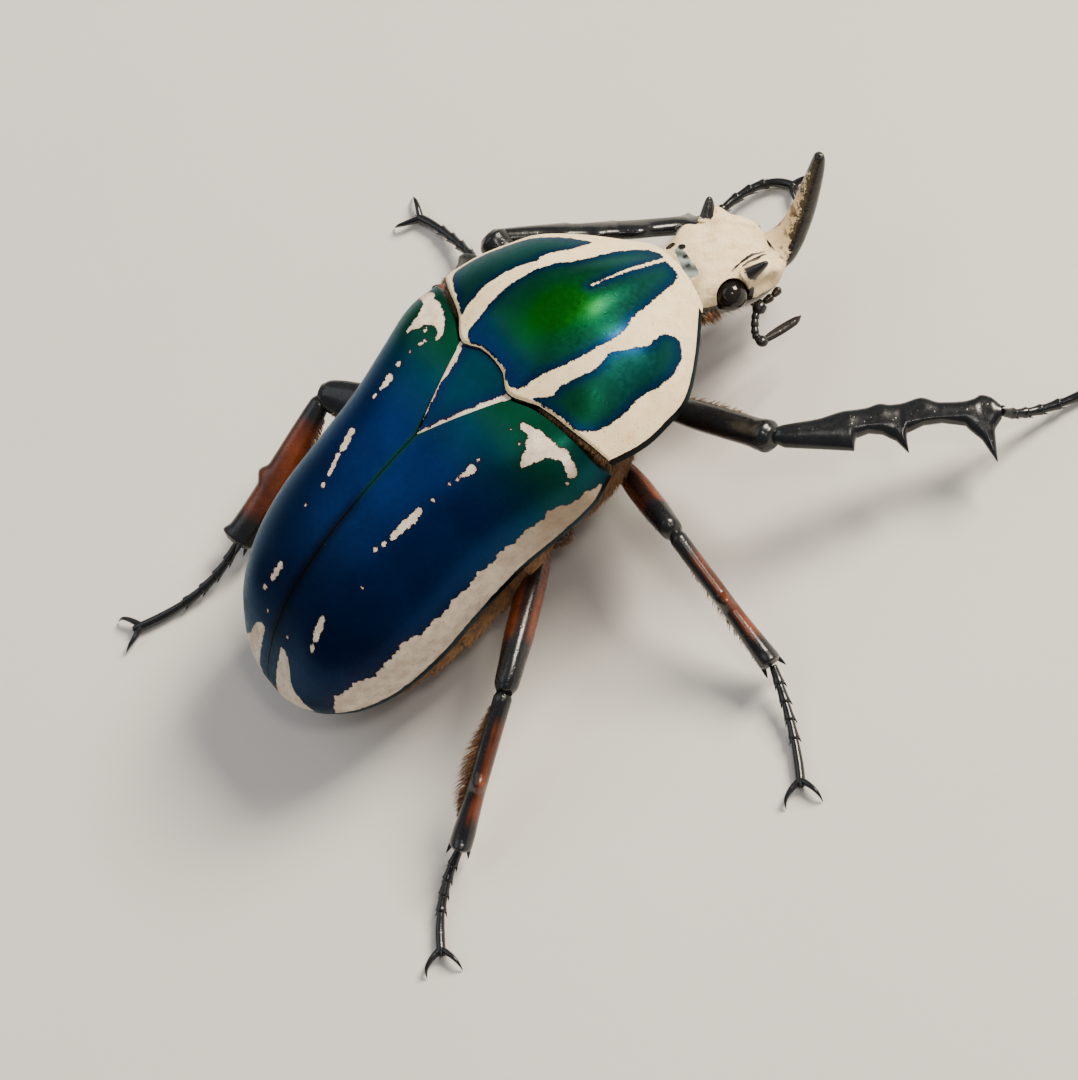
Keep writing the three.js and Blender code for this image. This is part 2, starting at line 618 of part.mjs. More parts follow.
function scutellumGeometry() {
  const rings = [];
  for (const t of [0, 0.25, 0.5, 0.75, 1]) {
    const x = SCUTELLUM_FRONT + (SCUTELLUM_APEX + 0.7 - SCUTELLUM_FRONT) * t;
    const half = Math.max(0.12, (SCUTELLUM_HALF - GAP) * (1 - t));
    const top = smooth(ELYTRA.d, ELYTRA.top, -x) - 0.1 - 0.25 * (1 - t);
    const ring = [];
    for (const [a, drop] of SCUTELLUM_SECTION) {
      const arch = SCUTELLUM_ARCH * (1 - a * a) * (1 - t);
      ring.push(new THREE.Vector3(x + arch, a * half, top - drop));
    }
    rings.push(ring);
  }
  return loft(rings);
}

// Keeps the underside of a foot flat on the floor
function flatten(geometry) {
  const position = geometry.getAttribute('position');
  for (let i = 0; i < position.count; i += 1) position.setZ(i, Math.max(0, position.getZ(i)));
  return geometry;
}

// Room that a hip takes out of the body, and the hip's centre, thigh direction and reach
function hipJoint(pair, side, knee) {
  const { at, radii } = COXA[pair];
  const hipAt = [at[0], side * at[1], at[2]];
  const centre = vec(hipAt).applyMatrix4(bodyFrame);
  const thigh = knee.clone().sub(centre).normalize();
  const local = thigh.clone().transformDirection(bodyFrame.clone().invert());
  const reach = 1 / Math.hypot(local.x / radii[0], local.y / radii[1], local.z / radii[2]);
  return {
    solid: ellipsoid(hipAt, radii, 0, 10, 8).applyMatrix4(bodyFrame),
    room: ellipsoid(hipAt, radii, GAP, 10, 8).applyMatrix4(bodyFrame),
    start: centre.clone().addScaledVector(thigh, reach + GAP + 0.05),
    thigh,
  };
}

function spurGeometry(pair, sign, ankle, shin, shinOut) {
  const across = shin.clone().cross(shinOut);
  const root = ankle.clone().addScaledVector(shin, -SPUR_ROOT.back)
    .addScaledVector(across, sign * SPUR_ROOT.aside)
    .addScaledVector(shinOut, -SPUR_ROOT.inward);
  const tip = root.clone().addScaledVector(shin, SPUR_LENGTH[pair])
    .addScaledVector(across, sign * SPUR_LEAN.aside)
    .addScaledVector(shinOut, -SPUR_LEAN.inward);
  tip.z = Math.max(tip.z, SPUR_LOWEST);
  return limb(SPUR_RADII.map(([t, radius]) => round(root.clone().lerp(tip, t), radius)), shinOut, 6);
}

// Foot of five joints along a curve from the ankle, with two spread claws, and the room
// that its first joints take out of the tibia
function footParts(ankle, shin, bend, foot) {
  const up = new THREE.Vector3(0, 0, 1);
  const toe = (t) => {
    const a = ankle.clone().addScaledVector(shin, GAP).lerp(bend, t);
    return a.lerp(bend.clone().lerp(foot, t), t);
  };
  const stations = [];
  for (let k = 0; k < TARSUS_JOINTS.length - 1; k += 1) {
    const t0 = TARSUS_JOINTS[k];
    const t1 = TARSUS_JOINTS[k + 1];
    for (const [t, radius] of TARSUS_RADII) stations.push(round(toe(t0 + (t1 - t0) * t), radius));
  }
  const heading = toe(1).sub(toe(0.9)).setZ(0).normalize();
  const sideways = heading.clone().cross(up);
  const claws = [1, -1].map((sign) => {
    const clawStations = CLAW_STATIONS.map(([t, radius, lift]) => {
      const at = toe(CLAW_ROOT).addScaledVector(heading, t * CLAW_LENGTH)
        .addScaledVector(sideways, sign * CLAW_SPREAD * Math.sin(t * CLAW_TURN));
      at.z += lift;
      return round(at, radius);
    });
    return limb(clawStations, up, 6);
  });
  const room = stations.slice(0, 6).map(({ at, outer }) => round(at, outer + GAP));
  room.unshift(round(toe(TARSUS_ROOM_START.t), TARSUS_ROOM_START.radius));
  return { solid: flatten(join(limb(stations, up, 8), ...claws)), room: limb(room, up, 8) };
}

function legParts(pair, side, data) {
  const knee = vec(data.knee);
  const ankle = vec(data.ankle);
  const hip = hipJoint(pair, side, knee);
  const { thigh } = hip;
  const shin = ankle.clone().sub(knee).normalize();
  const bent = thigh.clone().addScaledVector(shin, -shin.dot(thigh)).normalize();
  const thighOut = shin.clone().negate().addScaledVector(thigh, shin.dot(thigh)).normalize();
  // The teeth of a fore tibia point aside, the outer edge of the others follows the knee's bend
  const level = new THREE.Vector3(0, 0, side).cross(shin).setZ(data.roll || 0);
  const shinOut = pair === 'fore' ? level.addScaledVector(shin, -shin.dot(level)).normalize() : bent;

  const femurEnd = knee.clone().addScaledVector(thigh, FEMUR_PAST_KNEE);
  const femurTube = (grow) => {
    const begin = hip.start.clone().addScaledVector(thigh, -grow);
    const end = femurEnd.clone().addScaledVector(thigh, grow);
    const stations = FEMUR_AT.map((t, i) => ({
      at: begin.clone().lerp(end, t),
      outer: FEMUR[pair].out[i] + grow,
      inner: FEMUR[pair].out[i] + grow,
      half: FEMUR[pair].half[i] + grow,
    }));
    return limb(stations, thighOut, 10);
  };

  const table = TIBIA[pair];
  const tibiaStart = knee.clone().addScaledVector(shin, TIBIA_PAST_KNEE);
  const tibiaTube = (grow) => {
    const begin = tibiaStart.clone().addScaledVector(shin, -grow);
    const stations = table.at.map((t, i) => ({
      at: begin.clone().lerp(ankle, t),
      outer: table.outer[i] + grow,
      inner: table.inner[i] + grow,
      half: table.half[i] + grow,
    }));
    return limb(stations, shinOut, 10);
  };
  const spurSides = pair === 'fore' ? [1] : [1, -1];
  const spurs = spurSides.map((sign) => spurGeometry(pair, sign, ankle, shin, shinOut));
  const tarsus = footParts(ankle, shin, vec(data.bend), vec(data.foot));

  return {
    coxa: cut(hip.solid, femurTube(GAP)),
    coxaRoom: hip.room,
    femur: cut(femurTube(0), tibiaTube(GAP)),
    femurRoom: femurTube(GAP),
    tibia: cut(join(tibiaTube(0), ...spurs), tarsus.room),
    tarsus: tarsus.solid,
  };
}

const beetle = new THREE.Group();
beetle.name = 'giant_flower_beetle';

function addPart(name, geometry, colour, roughness) {
  const material = new THREE.MeshStandardMaterial({ color: colour, roughness });
  material.name = name;
  const mesh = new THREE.Mesh(geometry, material);
  mesh.name = name;
  beetle.add(mesh);
}

const legs = {};
for (const [name, data] of Object.entries(LEGS)) {
  const [pair, sideName] = name.split('_');
  legs[name] = legParts(pair, sideName === 'left' ? 1 : -1, data);
}
const rooms = Object.values(legs).flatMap((leg) => [leg.coxaRoom, leg.femurRoom]);

// Body
const frontBlock = boxBetween([PROTHORAX_REAR_PLANE - 40, -30, -30], [PROTHORAX_REAR_PLANE, 30, 40]);

const pronotum = pronotumGeometry().applyMatrix4(prothoraxFrame);
const headRoom = ellipsoid(HEAD_ROOM.at, HEAD_ROOM.radii, 0, 16, 10).applyMatrix4(headFrame);
const prothorax = cut(
  prothoraxGeometry().applyMatrix4(prothoraxFrame),
  frontBlock.applyMatrix4(bodyFrame),
  headRoom,
  ...rooms,
);
const thorax = cut(thoraxGeometry().applyMatrix4(bodyFrame), ...rooms);
const abdomen = cut(abdomenGeometry().applyMatrix4(bodyFrame), ...rooms);
const eyeAt = (side) => [EYE.at[0], side * EYE.at[1], EYE.at[2]];
const eyeRooms = [1, -1].flatMap((side) => {
  const centre = vec(eyeAt(side));
  const opening = new THREE.Vector3(EYE.opening[0], side * EYE.opening[1], EYE.opening[2]);
  const outside = centre.clone().add(opening);
  const radius = EYE.radius + GAP;
  return [
    ellipsoid(eyeAt(side), [radius, radius, radius], 0, 14, 10),
    limb([round(centre, radius), round(outside, radius)], new THREE.Vector3(1, 0, 0), 14),
  ];
});

addPart('pronotum', pronotum, COLOURS.pronotum, 0.3);
addPart('prothorax_underside', prothorax, COLOURS.underside, 0.6);
addPart('scutellum', scutellumGeometry().applyMatrix4(bodyFrame), COLOURS.pronotum, 0.35);
addPart('elytron_left', elytronGeometry(1).applyMatrix4(bodyFrame), COLOURS.elytra, 0.3);
addPart('elytron_right', elytronGeometry(-1).applyMatrix4(bodyFrame), COLOURS.elytra, 0.3);
addPart('thorax_underside', thorax, COLOURS.underside, 0.6);
addPart('abdomen', abdomen, COLOURS.underside, 0.55);
addPart('pygidium', pygidiumGeometry().applyMatrix4(bodyFrame), COLOURS.underside, 0.55);
addPart('head', cut(headGeometry(), ...eyeRooms).applyMatrix4(headFrame), COLOURS.cream, 0.7);
addPart('horn', hornGeometry().applyMatrix4(headFrame), COLOURS.cuticle, 0.25);
for (const [sideName, side] of [['left', 1], ['right', -1]]) {
  const eye = ellipsoid(eyeAt(side), [EYE.radius, EYE.radius, EYE.radius], 0, 14, 10);
  const antenna = antennaGeometry(side);
  const palp = palpGeometry(side);
  addPart(`eye_${sideName}`, eye.applyMatrix4(headFrame), COLOURS.eye, 0.15);
  addPart(`antenna_${sideName}`, antenna.applyMatrix4(headFrame), COLOURS.cuticle, 0.35);
  addPart(`palp_${sideName}`, palp.applyMatrix4(headFrame), COLOURS.cuticle, 0.35);
}
for (const [name, leg] of Object.entries(legs)) {
  const shinColour = name.startsWith('fore') ? COLOURS.cuticle : COLOURS.red;
  addPart(`coxa_${name}`, leg.coxa, COLOURS.cuticle, 0.4);
  addPart(`femur_${name}`, leg.femur, shinColour, 0.3);
  addPart(`tibia_${name}`, leg.tibia, shinColour, 0.3);
  addPart(`tarsus_${name}`, leg.tarsus, COLOURS.cuticle, 0.3);
}

// Moves the origin to the centre of the bounding box's bottom face
const box = new THREE.Box3().setFromObject(beetle);
const centre = box.getCenter(new THREE.Vector3());
for (const mesh of beetle.children) mesh.geometry.translate(-centre.x, -centre.y, -box.min.z);

export default beetle;
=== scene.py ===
# Looks of the giant flower beetle: fine surfaces, markings, hair, light and camera.
# Shapes are worked out in millimetres and set into the frame in metres.
import math

import bpy
import numpy as np
from mathutils import Matrix, Vector


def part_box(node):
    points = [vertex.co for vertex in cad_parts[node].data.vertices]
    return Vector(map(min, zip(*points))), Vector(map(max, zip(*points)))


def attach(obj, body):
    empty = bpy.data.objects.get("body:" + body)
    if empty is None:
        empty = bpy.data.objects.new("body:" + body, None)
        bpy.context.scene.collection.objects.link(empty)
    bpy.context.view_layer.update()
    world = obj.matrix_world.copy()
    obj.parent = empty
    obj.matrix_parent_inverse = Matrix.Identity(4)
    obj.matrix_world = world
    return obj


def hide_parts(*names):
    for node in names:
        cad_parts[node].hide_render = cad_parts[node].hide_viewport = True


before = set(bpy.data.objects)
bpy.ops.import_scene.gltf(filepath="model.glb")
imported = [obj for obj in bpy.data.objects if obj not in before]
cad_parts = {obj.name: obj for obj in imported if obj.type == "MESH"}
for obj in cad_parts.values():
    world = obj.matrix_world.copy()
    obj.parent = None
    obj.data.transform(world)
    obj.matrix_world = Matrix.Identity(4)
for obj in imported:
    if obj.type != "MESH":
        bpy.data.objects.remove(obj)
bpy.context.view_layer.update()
MM = 0.001
GAP = 0.32
random = np.random.default_rng(7)

# Pose of the three body frames: hind body, prothorax and head
BODY_PITCH = 9.75
BODY_HEIGHT = 6.0
BODY_PIVOT_X = -10.0
PROTHORAX_PITCH = 17.9
PROTHORAX_PIVOT_Z = 12.0
HEAD_PITCH = 29.0
HEAD_YAW = -5.5
HEAD_AT = (17.0, 0.0, 8.8)

# Elytra: distance behind the shoulder, half width, crown height and rim height
ELYTRA_D = [1.3, 4, 8, 13, 18.5, 24, 29, 33, 35.7, 37.1, 37.7]
ELYTRA_HALF = [12.8, 13.3, 12.6, 11.5, 11.15, 11.0, 10.15, 8.4, 6.1, 4.0, 2.2]
ELYTRA_TOP = [15.1, 15.6, 16.0, 16.1, 15.75, 14.9, 13.3, 11.0, 8.6, 6.9, 5.8]
ELYTRA_RIM = [8.5, 7.9, 7.1, 6.4, 5.8, 5.2, 4.7, 4.5, 4.6, 4.8, 5.0]
ELYTRON_ROUND = 2 / 2.8
ELYTRON_WALL = 0.8
ELYTRON_GRID = (210, 130)
LIP_STEPS = (0.35, 0.7, 1.0)
ELYTRA_FRONT_Y = [0, 3.8, 6.4, 10, 13.4]
ELYTRA_FRONT_X = [-2.5, -2.4, -1.4, -0.9, -1.35]
SHOULDER_FADE = 6.0
SCUTELLUM_FRONT = -2.6
SCUTELLUM_APEX = -10.6
SCUTELLUM_HALF = 3.85
SCUTELLUM_ARCH = 1.0
SCUTELLUM_GRID = (110, 91)
SEAM = 0.04
SHOULDER_BUMP = (4.6, 9.8, 0.45, 6.0)
REAR_BUMP = (31.5, 5.2, 0.35, 5.0)

# Pronotum, from its rear edge to its front edge
PRONOTUM_U = [0, 0.22, 0.4, 0.56, 0.75, 1]
PRONOTUM_HALF = [13.2, 13.1, 12.4, 11.5, 8.9, 4.5]
PRONOTUM_TOP = [14.9, 15.9, 15.9, 15.2, 13.2, 9.3]
PRONOTUM_RIM = [10, 9.0, 8.4, 8.0, 7.9, 8.0]
PRONOTUM_REAR_S = [0, 0.12, 0.27, 0.5, 0.78, 1]
PRONOTUM_REAR_X = [-2.0, -2.2, -3.05, -1.6, -0.6, 0.3]
PRONOTUM_FRONT_X = 16.9
PRONOTUM_CORNER_X = 16.2
PRONOTUM_WALL = 0.9
PRONOTUM_GRID = (190, 291)

# Lower bodies: stations along X with half width, crown, side height and keel
ABDOMEN = {
    "x": [-9.9, -14, -19, -24, -29, -32, -34.2],
    "half": [9.9, 10.7, 10.6, 10.3, 9.2, 7.5, 5.6],
    "top": [11.5, 12, 12, 11.5, 10, 8.4, 7.0],
    "side": [4.4, 3.6, 3.0, 2.8, 2.8, 3.0, 3.3],
    "keel": [-2.0, -2.1, -1.9, -1.2, -0.1, 0.9, 1.8],
}
CROWN_INSET = 1.5
VENTRITE_ENDS = [-13.6, -18.0, -22.4, -26.6, -30.4]
VENTRITE_STEP = 0.22
PYGIDIUM_RINGS = [[-34.35, 1.0], [-34.9, 0.97], [-35.4, 0.9], [-36.1, 0.72], [-36.6, 0.46], [-36.85, 0.18]]
THORAX = {
    "x": [1.4, 0.6, -2, -5, -9.5],
    "half": [9.2, 10.4, 11.2, 11.1, 9.9],
    "top": [10, 11.6, 12, 12, 11.5],
    "side": [6.4, 6.6, 6.6, 6.2, 5.4],
    "keel": [0.4, -0.9, -2.2, -2.6, -2.2],
}

# Head stations, with the horn, teeth, eyes and mouthparts
HEAD = {
    "x": [-1.9, -0.4, 1.4, 3.2, 5.2, 7.2, 9, 9.9],
    "half": [3.0, 3.5, 3.8, 3.95, 4.25, 4.15, 3.5, 2.75],
    "top": [-2.3, -1.3, 0.0, 0.9, 1.5, 1.8, 1.3, 0.6],
    "keel": [-4.8, -5.1, -5.3, -5.3, -5.0, -4.5, -3.8, -3.2],
    "scoop": [0, 0, 0.1, 0.5, 0.9, 1.4, 1.5, 1.2],
}
HORN = {
    "x": [9.3, 9.9, 11.0, 11.75, 12.2, 12.45, 12.5, 12.45, 12.35, 12.25],
    "z": [-1.9, -1.7, -1.2, -0.1, 1.5, 3.6, 6.2, 8.6, 9.8, 10.15],
    "thick": [1.0, 1.2, 1.35, 1.25, 1.1, 1.0, 0.85, 0.65, 0.45, 0.12],
    "wide": [1.9, 2.1, 1.95, 1.6, 1.35, 1.15, 0.95, 0.75, 0.55, 0.16],
}
TOOTH_BASE = (5.0, 3.6, 0.5)
TOOTH_TIP_LEFT = (5.55, 4.9, 2.3)
TOOTH_TIP_RIGHT = (6.15, -4.35, 2.6)
BROW_AT = (5.8, 3.6, 0.8)
BROW_SIZE = (1.25, 0.9, 1.1)
TEMPLE_AT = (2.6, 3.2, 0.2)
TEMPLE_SIZE = (1.1, 0.9, 0.9)
CHEEK_AT = (7.0, 3.9, -0.6)
CHEEK_SIZE = (1.0, 0.8, 0.9)
EYE_AT = (3.75, 3.65, -1.5)
EYE_RADIUS = 1.45
EYE_OPENING_LEFT = (0.3, 2.2, -0.4)
EYE_OPENING_RIGHT = (-0.9, 2.0, 2.1)
ANTENNA_STEM = [[6.8, 4.75, -2.5], [5.9, 5.2, -3.2], [5.3, 6.6, -4.2], [5.6, 7.35, -4.4]]
ANTENNA_CLUB = [[5.9, 7.3, -4.4], [8.1, 6.7, -4.3], [10.4, 6.1, -4.2]]
ANTENNA_BLACK = (0.010, 0.009, 0.009)
CLUB_BLACK = (0.014, 0.011, 0.010)
PALP_BROWN = (0.02, 0.012, 0.008)
PALP = [[7.6, 2.2, -5.2], [8.6, 2.7, -4.9], [9.6, 2.6, -4.5], [10.5, 2.3, -4.1]]

# Legs on the floor: hip joints in the hind body's frame, left side
COXA = {
    "fore": {"at": (3.9, 3.9, -0.9), "radii": (1.7, 2.6, 1.9)},
    "mid": {"at": (-1.6, 4.7, -1.7), "radii": (1.9, 2.6, 1.7)},
    "hind": {"at": (-9.9, 5.6, -0.9), "radii": (2.0, 2.9, 1.5)},
}
LEGS = {
    "fore_right": {"knee": (9.95, -17.6, 10.6), "ankle": (26.6, -27.9, 4.8), "bend": (28.6, -28.4, 0.4),
                   "foot": (36.2, -30.6, 0.6), "roll": -0.2},
    "mid_right": {"knee": (-1.95, -17.5, 9.6), "ankle": (-3.2, -30.5, 2.6), "bend": (-5.2, -35.5, 0.5),
                  "foot": (-8.3, -40.3, 0.6), "roll": 0.0},
    "hind_right": {"knee": (-22.2, -18.1, 9.2), "ankle": (-34.9, -23.4, 2.4), "bend": (-39.5, -24.4, 0.5),
                   "foot": (-42.2, -29.2, 0.6), "roll": 0.0},
    "fore_left": {"knee": (3.3, 16.3, 12.5), "ankle": (19.1, 8.1, 3.2), "bend": (26.1, 10.6, 0.5),
                  "foot": (27.4, 6.4, 0.6), "roll": -1.1},
    "mid_left": {"knee": (-7.6, 14.6, 11.9), "ankle": (0.9, 22.0, 2.6), "bend": (1.0, 28.5, 0.4),
                 "foot": (-0.4, 31.8, 0.6), "roll": 0.0},
    "hind_left": {"knee": (-17.6, 19.3, 7.2), "ankle": (-33.0, 16.6, 2.4), "bend": (-38.5, 15.2, 0.5),
                  "foot": (-45.6, 18.2, 0.6), "roll": 0.0},
}
FEMUR_AT = [0, 0.06, 0.2, 0.4, 0.6, 0.8, 0.94, 1]
FEMUR = {
    "fore": {"out": [0.55, 1.1, 1.45, 1.65, 1.65, 1.55, 1.5, 0.9],
             "half": [0.5, 1.0, 1.15, 1.2, 1.2, 1.25, 1.5, 0.9]},
    "mid": {"out": [0.55, 1.1, 1.5, 1.75, 1.75, 1.6, 1.3, 0.8],
            "half": [0.5, 0.9, 1.1, 1.2, 1.2, 1.1, 1.0, 0.6]},
    "hind": {"out": [0.6, 1.2, 1.75, 2.1, 2.1, 1.85, 1.45, 0.9],
             "half": [0.5, 1.0, 1.25, 1.35, 1.35, 1.2, 1.1, 0.7]},
}
TIBIA = {
    "fore": {
        "at": [0, 0.05, 0.2, 0.34, 0.365, 0.42, 0.48, 0.53, 0.565, 0.585, 0.66, 0.74, 0.84, 0.89, 0.92,
               0.96, 1],
        "outer": [0.5, 1.1, 1.6, 2.1, 0.95, 0.65, 0.9, 1.6, 2.9, 1.0, 0.45, 0.4, 0.9, 2.3, 4.6, 1.6, 0.6],
        "inner": [0.5, 0.95, 1.15, 1.65, 1.65, 1.7, 1.95, 1.75, 1.75, 1.8, 2.1, 1.5, 1.35, 1.5, 1.75,
                  1.5, 0.7],
        "half": [0.5, 0.95, 1.0, 1.0, 0.95, 0.9, 0.9, 0.85, 0.8, 0.85, 0.85, 0.85, 0.85, 0.8, 0.7, 0.7, 0.5],
    },
    "mid": {
        "at": [0, 0.06, 0.25, 0.46, 0.53, 0.6, 0.78, 0.9, 0.97, 1],
        "outer": [0.45, 0.9, 1.05, 1.15, 1.8, 1.1, 1.25, 1.45, 1.8, 1.1],
        "inner": [0.45, 0.85, 0.95, 1.05, 1.1, 1.1, 1.2, 1.3, 1.35, 0.9],
        "half": [0.45, 0.8, 0.8, 0.8, 0.8, 0.8, 0.9, 1.0, 1.05, 0.7],
    },
    "hind": {
        "at": [0, 0.06, 0.25, 0.5, 0.57, 0.64, 0.8, 0.92, 0.97, 1],
        "outer": [0.45, 0.95, 1.1, 1.25, 1.8, 1.25, 1.35, 1.55, 1.9, 1.2],
        "inner": [0.45, 0.9, 1.05, 1.2, 1.25, 1.25, 1.35, 1.45, 1.45, 1.0],
        "half": [0.45, 0.85, 0.85, 0.85, 0.85, 0.85, 0.95, 1.05, 1.05, 0.7],
    },
}
SPUR_LENGTH = {"fore": 1.4, "mid": 1.6, "hind": 1.8}
BROAD_SHIN = 1.35
TOOTH_LEAN = 0.25
TARSUS_JOINTS = [0, 0.16, 0.31, 0.46, 0.62, 1]
CLAW_LENGTH = 2.3
CLAW_SPREAD = 1.7

# Markings on the pronotum: dark patches on a cream ground. Each point is the distance
# forward and the distance over the back from the midline, left positive.
MIDDLE_PATCH = [
    (16.2, 1.7), (15.2, 2.6), (13.6, 3.0), (9.8, 3.3), (6.8, 4.5), (4.0, 4.9), (1.3, 4.7), (-0.9, 4.2),
    (-2.0, 4.1), (-2.5, 3.2), (-2.4, 2.5), (-1.9, 1.4), (-1.8, -0.6), (-2.0, -2.0), (-2.4, -2.9),
    (-2.4, -3.7), (-1.8, -4.5), (0.4, -4.9), (2.5, -5.7), (5.1, -6.0), (7.1, -6.1), (8.6, -5.8),
    (9.8, -4.9), (11.4, -4.3), (13.0, -3.5), (14.8, -2.5), (15.9, -1.8), (16.2, -0.7), (16.1, 0.2),
]
LEFT_PATCH = [
    (11.9, 5.3), (10.7, 7.2), (8.2, 10.1), (6.5, 11.4), (3.3, 12.8), (1.3, 13.1), (0.3, 11.9),
    (-0.3, 10.1), (-0.9, 8.2), (-1.5, 6.4), (-0.5, 6.8), (1.9, 7.1), (4.7, 6.5), (6.8, 5.6), (7.4, 5.9),
    (9.8, 5.1),
]
RIGHT_PATCH = [
    (-1.7, -6.0), (-1.0, -8.1), (-0.6, -9.9), (-0.4, -10.9), (0.6, -11.9), (2.0, -12.4), (3.7, -12.4),
    (6.0, -12.0), (8.0, -11.9), (9.6, -11.4), (11.1, -10.2), (11.9, -8.9), (12.0, -8.0), (11.4, -7.4),
    (10.6, -7.4), (9.4, -7.9), (8.2, -7.7), (7.0, -7.3), (5.9, -7.1), (4.6, -7.6), (3.3, -7.5),
    (1.2, -7.0), (-0.2, -7.0),
]
MEDIAN_LINE = [
    (16.6, 0.75, 0.2), (13.9, 0.35, 0.17), (11.9, 0.05, 0.12), (10.3, -0.15, 0.08), (8.8, -0.25, 0.02),
]
PRONOTUM_RIM_WIDTH = 0.75
PRONOTUM_GREEN = np.array([0.0004, 0.078, 0.0025])
PRONOTUM_SIDE_GREEN = np.array([0.0004, 0.055, 0.016])
PRONOTUM_TEAL = np.array([0.0004, 0.044, 0.040])
PRONOTUM_NAVY = np.array([0.0005, 0.018, 0.062])
PRONOTUM_BLUE = np.array([0.0005, 0.016, 0.075])

# Markings on the elytra: distance behind the shoulder, distance over the back from
# the suture, and half width of a cream stroke
HOOK_RIGHT = [
    (2.9, 6.6), (2.6, 7.2), (2.6, 7.8), (2.4, 8.7), (2.5, 9.9), (2.4, 10.7), (2.1, 11.2), (2.3, 12.1),
    (2.6, 13.3), (3.1, 13.7), (3.6, 13.3), (3.1, 12.4), (3.2, 11.4), (3.7, 10.7), (4.4, 10.3), (5.0, 10.0),
    (5.7, 9.6), (5.2, 9.2), (4.4, 8.9), (4.0, 8.4), (3.3, 8.0), (3.3, 7.1),
]
HOOK_LEFT = [
    (3.0, 13.4), (2.3, 13.2), (1.8, 11.2), (2.0, 10.0), (1.8, 8.7), (2.1, 6.9), (2.8, 5.9), (3.6, 5.9),
    (3.0, 6.8), (3.3, 7.5), (4.0, 8.1), (5.5, 8.9), (4.6, 9.2), (3.6, 9.6), (2.9, 10.9), (3.1, 13.3),
]
BEAD = 0.75
SPOTS_RIGHT = [
    [(7.9, 6.25, 0.15)], [(8.9, 6.45, 0.42), (9.4, 6.4, 0.25), (9.9, 6.2, 0.12)], [(10.4, 6.1, 0.15)],
    [(11.2, 5.8, 0.17)], [(13.3, 5.7, 0.2)],
    [(15.0, 5.45, 0.36), (15.6, 5.5, 0.42), (16.5, 5.3, 0.4), (17.3, 5.25, 0.36), (18.3, 5.2, 0.28)],
    [(19.25, 4.95, 0.24)], [(20.2, 4.7, 0.22)], [(23.5, 5.9, 0.13)],
    [(28.4, 4.35, 0.25), (29.3, 4.55, 0.45), (30.2, 4.75, 0.28)], [(31.0, 4.9, 0.2), (31.4, 4.95, 0.14)],
    [(32.4, 1.7, 0.12)], [(3.9, 6.4, 0.1)], [(4.4, 8.0, 0.14)], [(4.0, 13.7, 0.14)],
]
SPOTS_LEFT = [
    [(4.0, 7.5, 0.13)], [(4.4, 6.6, 0.1), (5.1, 6.75, 0.1)], [(6.2, 6.9, 0.14)], [(7.7, 6.9, 0.26)],
    [(9.2, 6.6, 0.4), (9.8, 6.5, 0.4), (10.3, 6.5, 0.22)], [(11.2, 6.5, 0.22)],
    [(14.9, 5.6, 0.38), (15.6, 5.35, 0.42), (16.3, 5.1, 0.4)],
    [(17.3, 4.9, 0.28), (18.3, 4.5, 0.26), (18.9, 4.3, 0.18)], [(20.0, 4.0, 0.24)], [(22.5, 4.2, 0.14)],
    [(28.1, 2.7, 0.32), (28.8, 2.7, 0.34), (29.6, 2.75, 0.28)], [(30.8, 3.1, 0.24)], [(32.2, 1.7, 0.13)],
]
SIDE_BAND_D = [2.3, 4.7, 6.5, 9.5, 14.0, 19.0, 22.0, 25.4, 28.5, 31.4, 33.4, 35.4]
SIDE_BAND_W = [16.4, 15.7, 14.6, 14.2, 13.8, 13.5, 13.2, 11.9, 11.5, 9.8, 8.7, 9.2]
SIDE_BAND_FRONT = 2.3
SIDE_BAND_END = 35.6
SEAM_GREEN = np.array([0.004, 0.035, 0.014])
APEX_EDGE_D = [33.6, 34.1, 34.8, 35.5, 36.0, 36.3, 36.5]
APEX_EDGE_W = [1.9, 2.7, 3.1, 3.4, 4.2, 5.6, 7.4]

# The camera looks down on the beetle's right side
CAMERA_AIM = (-11.443, -8.207, 8.0)
CAMERA_DISTANCE = 481.06
CAMERA_AZIMUTH = 2.346
CAMERA_ELEVATION = 58.82
CAMERA_ROLL = -43.52
CAMERA_LENS = 179.29
SENSOR = 36.0

# Strokes on the head, some of them painted light: distance forward, distance to the left and half width of a
# stroke
# Painted shadow: two dark lines in the shade of the raised right side of the face
HEAD_SHADOW_LINES = [
    [(3.9, -2.65, 0.08), (5.6, -1.95, 0.17), (6.8, -1.50, 0.17), (8.3, -1.20, 0.07)],
    [(5.0, -2.75, 0.18), (6.3, -2.30, 0.24), (8.2, -1.60, 0.09)],
]
# Painted sheen: a grey streak on the glossy black neck, with black gaps in it
NECK_SHEEN = [(1.00, -1.1, 0.42), (0.95, -0.5, 0.50), (1.0, 0.4, 0.44), (1.1, 1.2, 0.40), (1.1, 2.0, 0.22)]
# Painted shade: dark spots in the hollow under the brow, in front of the eye and beside the brow tooth
BROW_SHADE = [((5.35, 4.1, -1.3), (0.5, 0.7, 0.9)), ((5.15, 3.7, 0.7), (0.8, 0.7, 0.7))]
HEAD_BLACK = np.array([0.010, 0.008, 0.007])
# Grey of the painted sheen on the neck
SHEEN_GREY = np.array([0.34, 0.40, 0.38])
NECK_BLACK = [[(0.95, 2.9, 0.34)], [(1.5, 2.0, 0.34)], [(1.25, 0.9, 0.24)], [(1.0, 0.0, 0.2)]]


# Curves and frames

def smooth(xs, ys, x):
    """Smooth curve through the listed values, at each x."""
    xs, ys, x = np.asarray(xs, float), np.asarray(ys, float), np.asarray(x, float)
    if xs[-1] < xs[0]:
        xs, ys = xs[::-1], ys[::-1]
    n = len(xs)
    lower = np.maximum(np.arange(n) - 1, 0)
    upper = np.minimum(np.arange(n) + 1, n - 1)
    slope = (ys[upper] - ys[lower]) / (xs[upper] - xs[lower])
    return hermite(xs, ys, slope, x)


